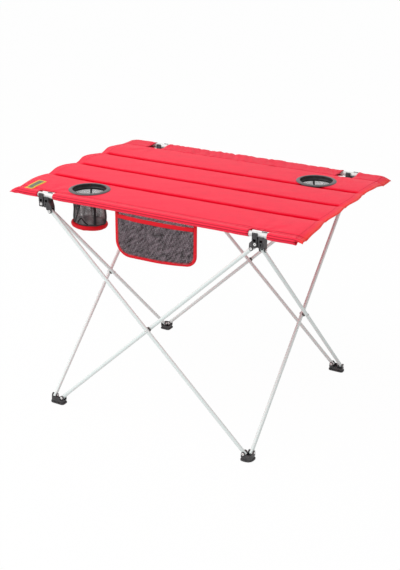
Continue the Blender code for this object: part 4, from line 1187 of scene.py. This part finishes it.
def pad_piece(name, centre, radius, top, under, material):
    """A crowned disc with a full edge, its height falling a little towards one side."""
    profile = [(0.0, top - 0.0006), (radius * 0.45, top - 0.0005), (radius * 0.80, top - 0.0012),
               (radius * 0.86, top - 0.0030)]
    middle_z = (top + under) / 2
    bulge = (top - under) / 2
    for step in range(9):
        turn = math.radians(72 - 18 * step)
        profile.append((radius - bulge + bulge * math.cos(turn), middle_z + bulge * math.sin(turn)))
    profile += [(radius * 0.78, under + 0.0012), (radius * 0.40, under + 0.0004), (0.0, under)]
    pad = turned_piece(name, profile, Vector((centre.x, centre.y, 0)), Vector((centre.x, centre.y, 1)),
                       PAD_SIDES, material, closed=False)
    for vertex in pad.data.vertices:
        away = vertex.co.xy - centre.xy
        slope = (away.x * 0.75 - away.y * 0.35) / radius
        puckers = ripple(PAD_PUCKER, *(vertex.co * 95.0)) * (away.length / radius) ** 2
        vertex.co.z += -PAD_SAG * slope * smooth_step(0.2, 1.0, away.length / radius) + puckers
        vertex.co.z -= CUP_TILT * away.y
    return pad


for corner, centre in CUP_CENTRES.items():
    low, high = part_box(f"{corner}_cup_base")
    radius, top, under = (high.x - low.x) / 2, high.z - CUP_HANG, low.z - CUP_HANG
    pad = pad_piece(f"{corner}_cup_pad", centre + PAD_SHIFT, radius, top, under, red_tape)
    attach(pad, "tabletop")
    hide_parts(f"{corner}_cup_base")
    # A dark disc of painted shade lies on the bottom of each cup, above the red pad, for the shade down
    # inside the cup, so that no red shows through the net
    shade_lining_top = top + SHADE_LINING_RISE
    shade_lining = pad_piece(f"{corner}_cup_shade_lining", centre, radius * SHADE_LINING_SHARE, shade_lining_top,
                       shade_lining_top - SHADE_LINING_WALL, cup_shade_lining)
    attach(shade_lining, "tabletop")

# Pocket
# Two layers of finer net below the front sleeve. Their edges are bound together in red tape,
# a band of the same tape stiffens the mouth, and the front layer bellies out.
POCKET_LOW, POCKET_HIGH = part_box("pocket_binding")
BAND_LOW, BAND_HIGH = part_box("pocket_mouth_band")
POCKET_Y = (POCKET_LOW.y + POCKET_HIGH.y) / 2
POCKET_LEFT_CORNER = 0.038
POCKET_RIGHT_CORNER = 0.026
SIDE_STEPS = 8
CORNER_STEPS = 10
BOTTOM_STEPS = 14
BINDING_WIDTH = 0.009
BINDING_HALF_THICK = 0.0017
BAND_HALF_THICK = 0.0009
BAND_STEPS = 40
TAPE_SECTION_SIDES = 14
TAPE_WOBBLE = 0.00015
LAYER_HALF_GAP = 0.0011
POCKET_BULGE = 0.0075
POCKET_FOLDS = 0.0016
POCKET_RISE = 0.0095
NET_INSET = BINDING_WIDTH * 0.6
POCKET_NET_PITCH = 0.0023
POCKET_THREAD = 0.00056
POCKET_UNEVEN = 0.00025
BACK_NET_PITCH = 0.0035
BACK_THREAD = 0.00098
BACK_SLANT = 0.55


def corner_arc(x, z, radius, start):
    """A quarter turn round (x, z), its start in degrees."""
    turns = [math.radians(start + 90 * step / CORNER_STEPS) for step in range(CORNER_STEPS + 1)]
    return [(x + radius * math.cos(turn), z + radius * math.sin(turn)) for turn in turns]


def pocket_outline(inset, top):
    """Down the left side, round both bottom corners and up the right side, as (x, z)."""
    left, right = POCKET_LOW.x + inset, POCKET_HIGH.x - inset
    bottom = POCKET_LOW.z + inset
    left_corner, right_corner = POCKET_LEFT_CORNER - inset, POCKET_RIGHT_CORNER - inset
    points = [(left, top + (bottom + left_corner - top) * step / SIDE_STEPS) for step in range(SIDE_STEPS)]
    points += corner_arc(left + left_corner, bottom + left_corner, left_corner, 180)
    run = right - right_corner - (left + left_corner)
    points += [(left + left_corner + run * step / BOTTOM_STEPS, bottom) for step in range(1, BOTTOM_STEPS)]
    points += corner_arc(right - right_corner, bottom + right_corner, right_corner, 270)
    points += [(right, bottom + right_corner + (top - bottom - right_corner) * step / SIDE_STEPS)
               for step in range(1, SIDE_STEPS + 1)]
    # The sewn bottom edge runs a little uphill towards the right
    raised, centre = [], (left + right) / 2
    for x, z in points:
        share = max(0.0, (x - centre) / (right - centre))
        raised.append((x, z + POCKET_RISE * share ** 1.5 * (top - z) / (top - bottom)))
    return raised


def pocket_span(z, points):
    """Left and right limits of the pocket's outline at one height."""
    crossings = [x0 + (x1 - x0) * (z - z0) / (z1 - z0) for (x0, z0), (x1, z1) in zip(points, points[1:])
                 if min(z0, z1) <= z <= max(z0, z1) and abs(z1 - z0) > 1e-9]
    return min(crossings), max(crossings)


def pocket_middle(x, z):
    return POCKET_Y


def pocket_back(x, z):
    return POCKET_Y + LAYER_HALF_GAP


def pocket_front(x, z):
    """The front layer stands out in a belly, with the soft folds that its weight makes."""
    centre = (POCKET_LOW.x + POCKET_HIGH.x) / 2
    half = (POCKET_HIGH.x - POCKET_LOW.x) / 2 - BINDING_WIDTH
    across = max(0.0, 1 - abs((x - centre) / half) ** 2.5)
    down = max(0.0, 1 - ((BAND_HIGH.z - z) / (BAND_HIGH.z - POCKET_LOW.z - BINDING_WIDTH)) ** 2)
    folds = ripple(POCKET_FOLDS, x * 32 + z * 22, z * 34 - x * 10, 2.4)
    belly = POCKET_BULGE * across * down + folds * across * min(1.0, down * 2)
    return POCKET_Y - LAYER_HALF_GAP - belly


def sheet_of_net(name, high_z, pitch, radius, depth_at, thread, slant=0.0):
    """A net fitted between the bound edges of the pocket, its columns leaning by slant."""
    low_z = POCKET_LOW.z + NET_INSET
    lean = slant * (high_z - low_z)
    width = POCKET_HIGH.x - POCKET_LOW.x - 2 * NET_INSET + lean
    outline = pocket_outline(NET_INSET, POCKET_HIGH.z)

    def wrap(across, up):
        z = low_z + up
        left, right = pocket_span(max(z, low_z + 0.0004), outline)
        x = POCKET_LOW.x + NET_INSET + across + slant * up - lean
        x = min(right, max(left, x))
        return (x, depth_at(x, z), z)

    return knit(name, width, high_z - low_z, pitch, radius, wrap, thread, POCKET_UNEVEN)


pocket_thread = thread_material("pocket_thread", (0.010, 0.005, 0.008), (0.260, 0.200, 0.228),
                                (3.2, math.radians(48)))
back_thread = thread_material("back_thread", (0.17, 0.060, 0.085), (0.30, 0.130, 0.165))
front_net = sheet_of_net("pocket_front_net", BAND_LOW.z + 0.001, POCKET_NET_PITCH, POCKET_THREAD,
                         pocket_front, pocket_thread)
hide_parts("pocket_front_mesh")
back_net = sheet_of_net("pocket_back_net", POCKET_HIGH.z, BACK_NET_PITCH, BACK_THREAD, pocket_back,
                        back_thread, BACK_SLANT)
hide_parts("pocket_back_mesh")


def folded_tape(name, path, half_width, half_thick, depth_at):
    """A folded red tape round a path of (x, z) points, oval in section, standing in the XZ plane."""
    bm, uv = new_shape()
    rings, travelled = [], 0.0
    for number, (x, z) in enumerate(path):
        x0, z0 = path[max(0, number - 1)]
        x1, z1 = path[min(len(path) - 1, number + 1)]
        ahead = Vector((x1 - x0, 0, z1 - z0)).normalized()
        across = Vector((-ahead.z, 0, ahead.x))
        if number:
            travelled += math.hypot(x - x0, z - z0)
        ring = []
        for step in range(TAPE_SECTION_SIDES):
            turn = 2 * math.pi * step / TAPE_SECTION_SIDES
            round_off = abs(math.sin(turn)) ** 0.6
            out = math.copysign(half_thick * round_off, math.sin(turn))
            wobble = ripple(TAPE_WOBBLE, x * 45, z * 45, turn)
            place = Vector((x, depth_at(x, z), z)) + across * (half_width * math.cos(turn) + wobble)
            ring.append(bm.verts.new(place + Vector((0, out, 0))))
        rings.append((ring, travelled))
    skin_rows(bm, uv, rings, half_width * 4 / TAPE_SECTION_SIDES, True)
    bm.faces.new(rings[0][0])
    bm.faces.new(list(reversed(rings[-1][0])))
    bmesh.ops.recalc_face_normals(bm, faces=bm.faces)
    return add_piece(name, smooth_mesh(name, bm), red_tape)


binding = folded_tape("pocket_edge_binding", pocket_outline(BINDING_WIDTH / 2, POCKET_HIGH.z),
                      BINDING_WIDTH / 2, BINDING_HALF_THICK, pocket_middle)
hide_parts("pocket_binding")
band_z = (BAND_LOW.z + BAND_HIGH.z) / 2
band_path = [(BAND_LOW.x - 0.002 + (BAND_HIGH.x - BAND_LOW.x + 0.004) * step / BAND_STEPS, band_z)
             for step in range(BAND_STEPS + 1)]
band = folded_tape("pocket_mouth_tape", band_path, (BAND_HIGH.z - BAND_LOW.z) / 2, BAND_HALF_THICK,
                   pocket_front)
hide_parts("pocket_mouth_band")
for piece in (binding, band):
    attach(piece, "tabletop")
for piece in (front_net, back_net):
    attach(piece, "tabletop")

BINDING_SEAM_LIFT = 0.0019
BAND_SEAM_LIFT = 0.0008
BAND_SEAM_OFFSET = 0.0036
binding_seam = [(x, POCKET_Y - BINDING_SEAM_LIFT, z)
                for x, z in pocket_outline(BINDING_WIDTH - 0.0012, POCKET_HIGH.z - 0.002)]
band_seams = [[(x, pocket_front(x, band_z) - BAND_SEAM_LIFT, band_z + offset) for x, z in band_path]
              for offset in (-BAND_SEAM_OFFSET, BAND_SEAM_OFFSET)]
pocket_stitches = stitch("pocket_stitches", [binding_seam, *band_seams], red_thread, "tabletop")
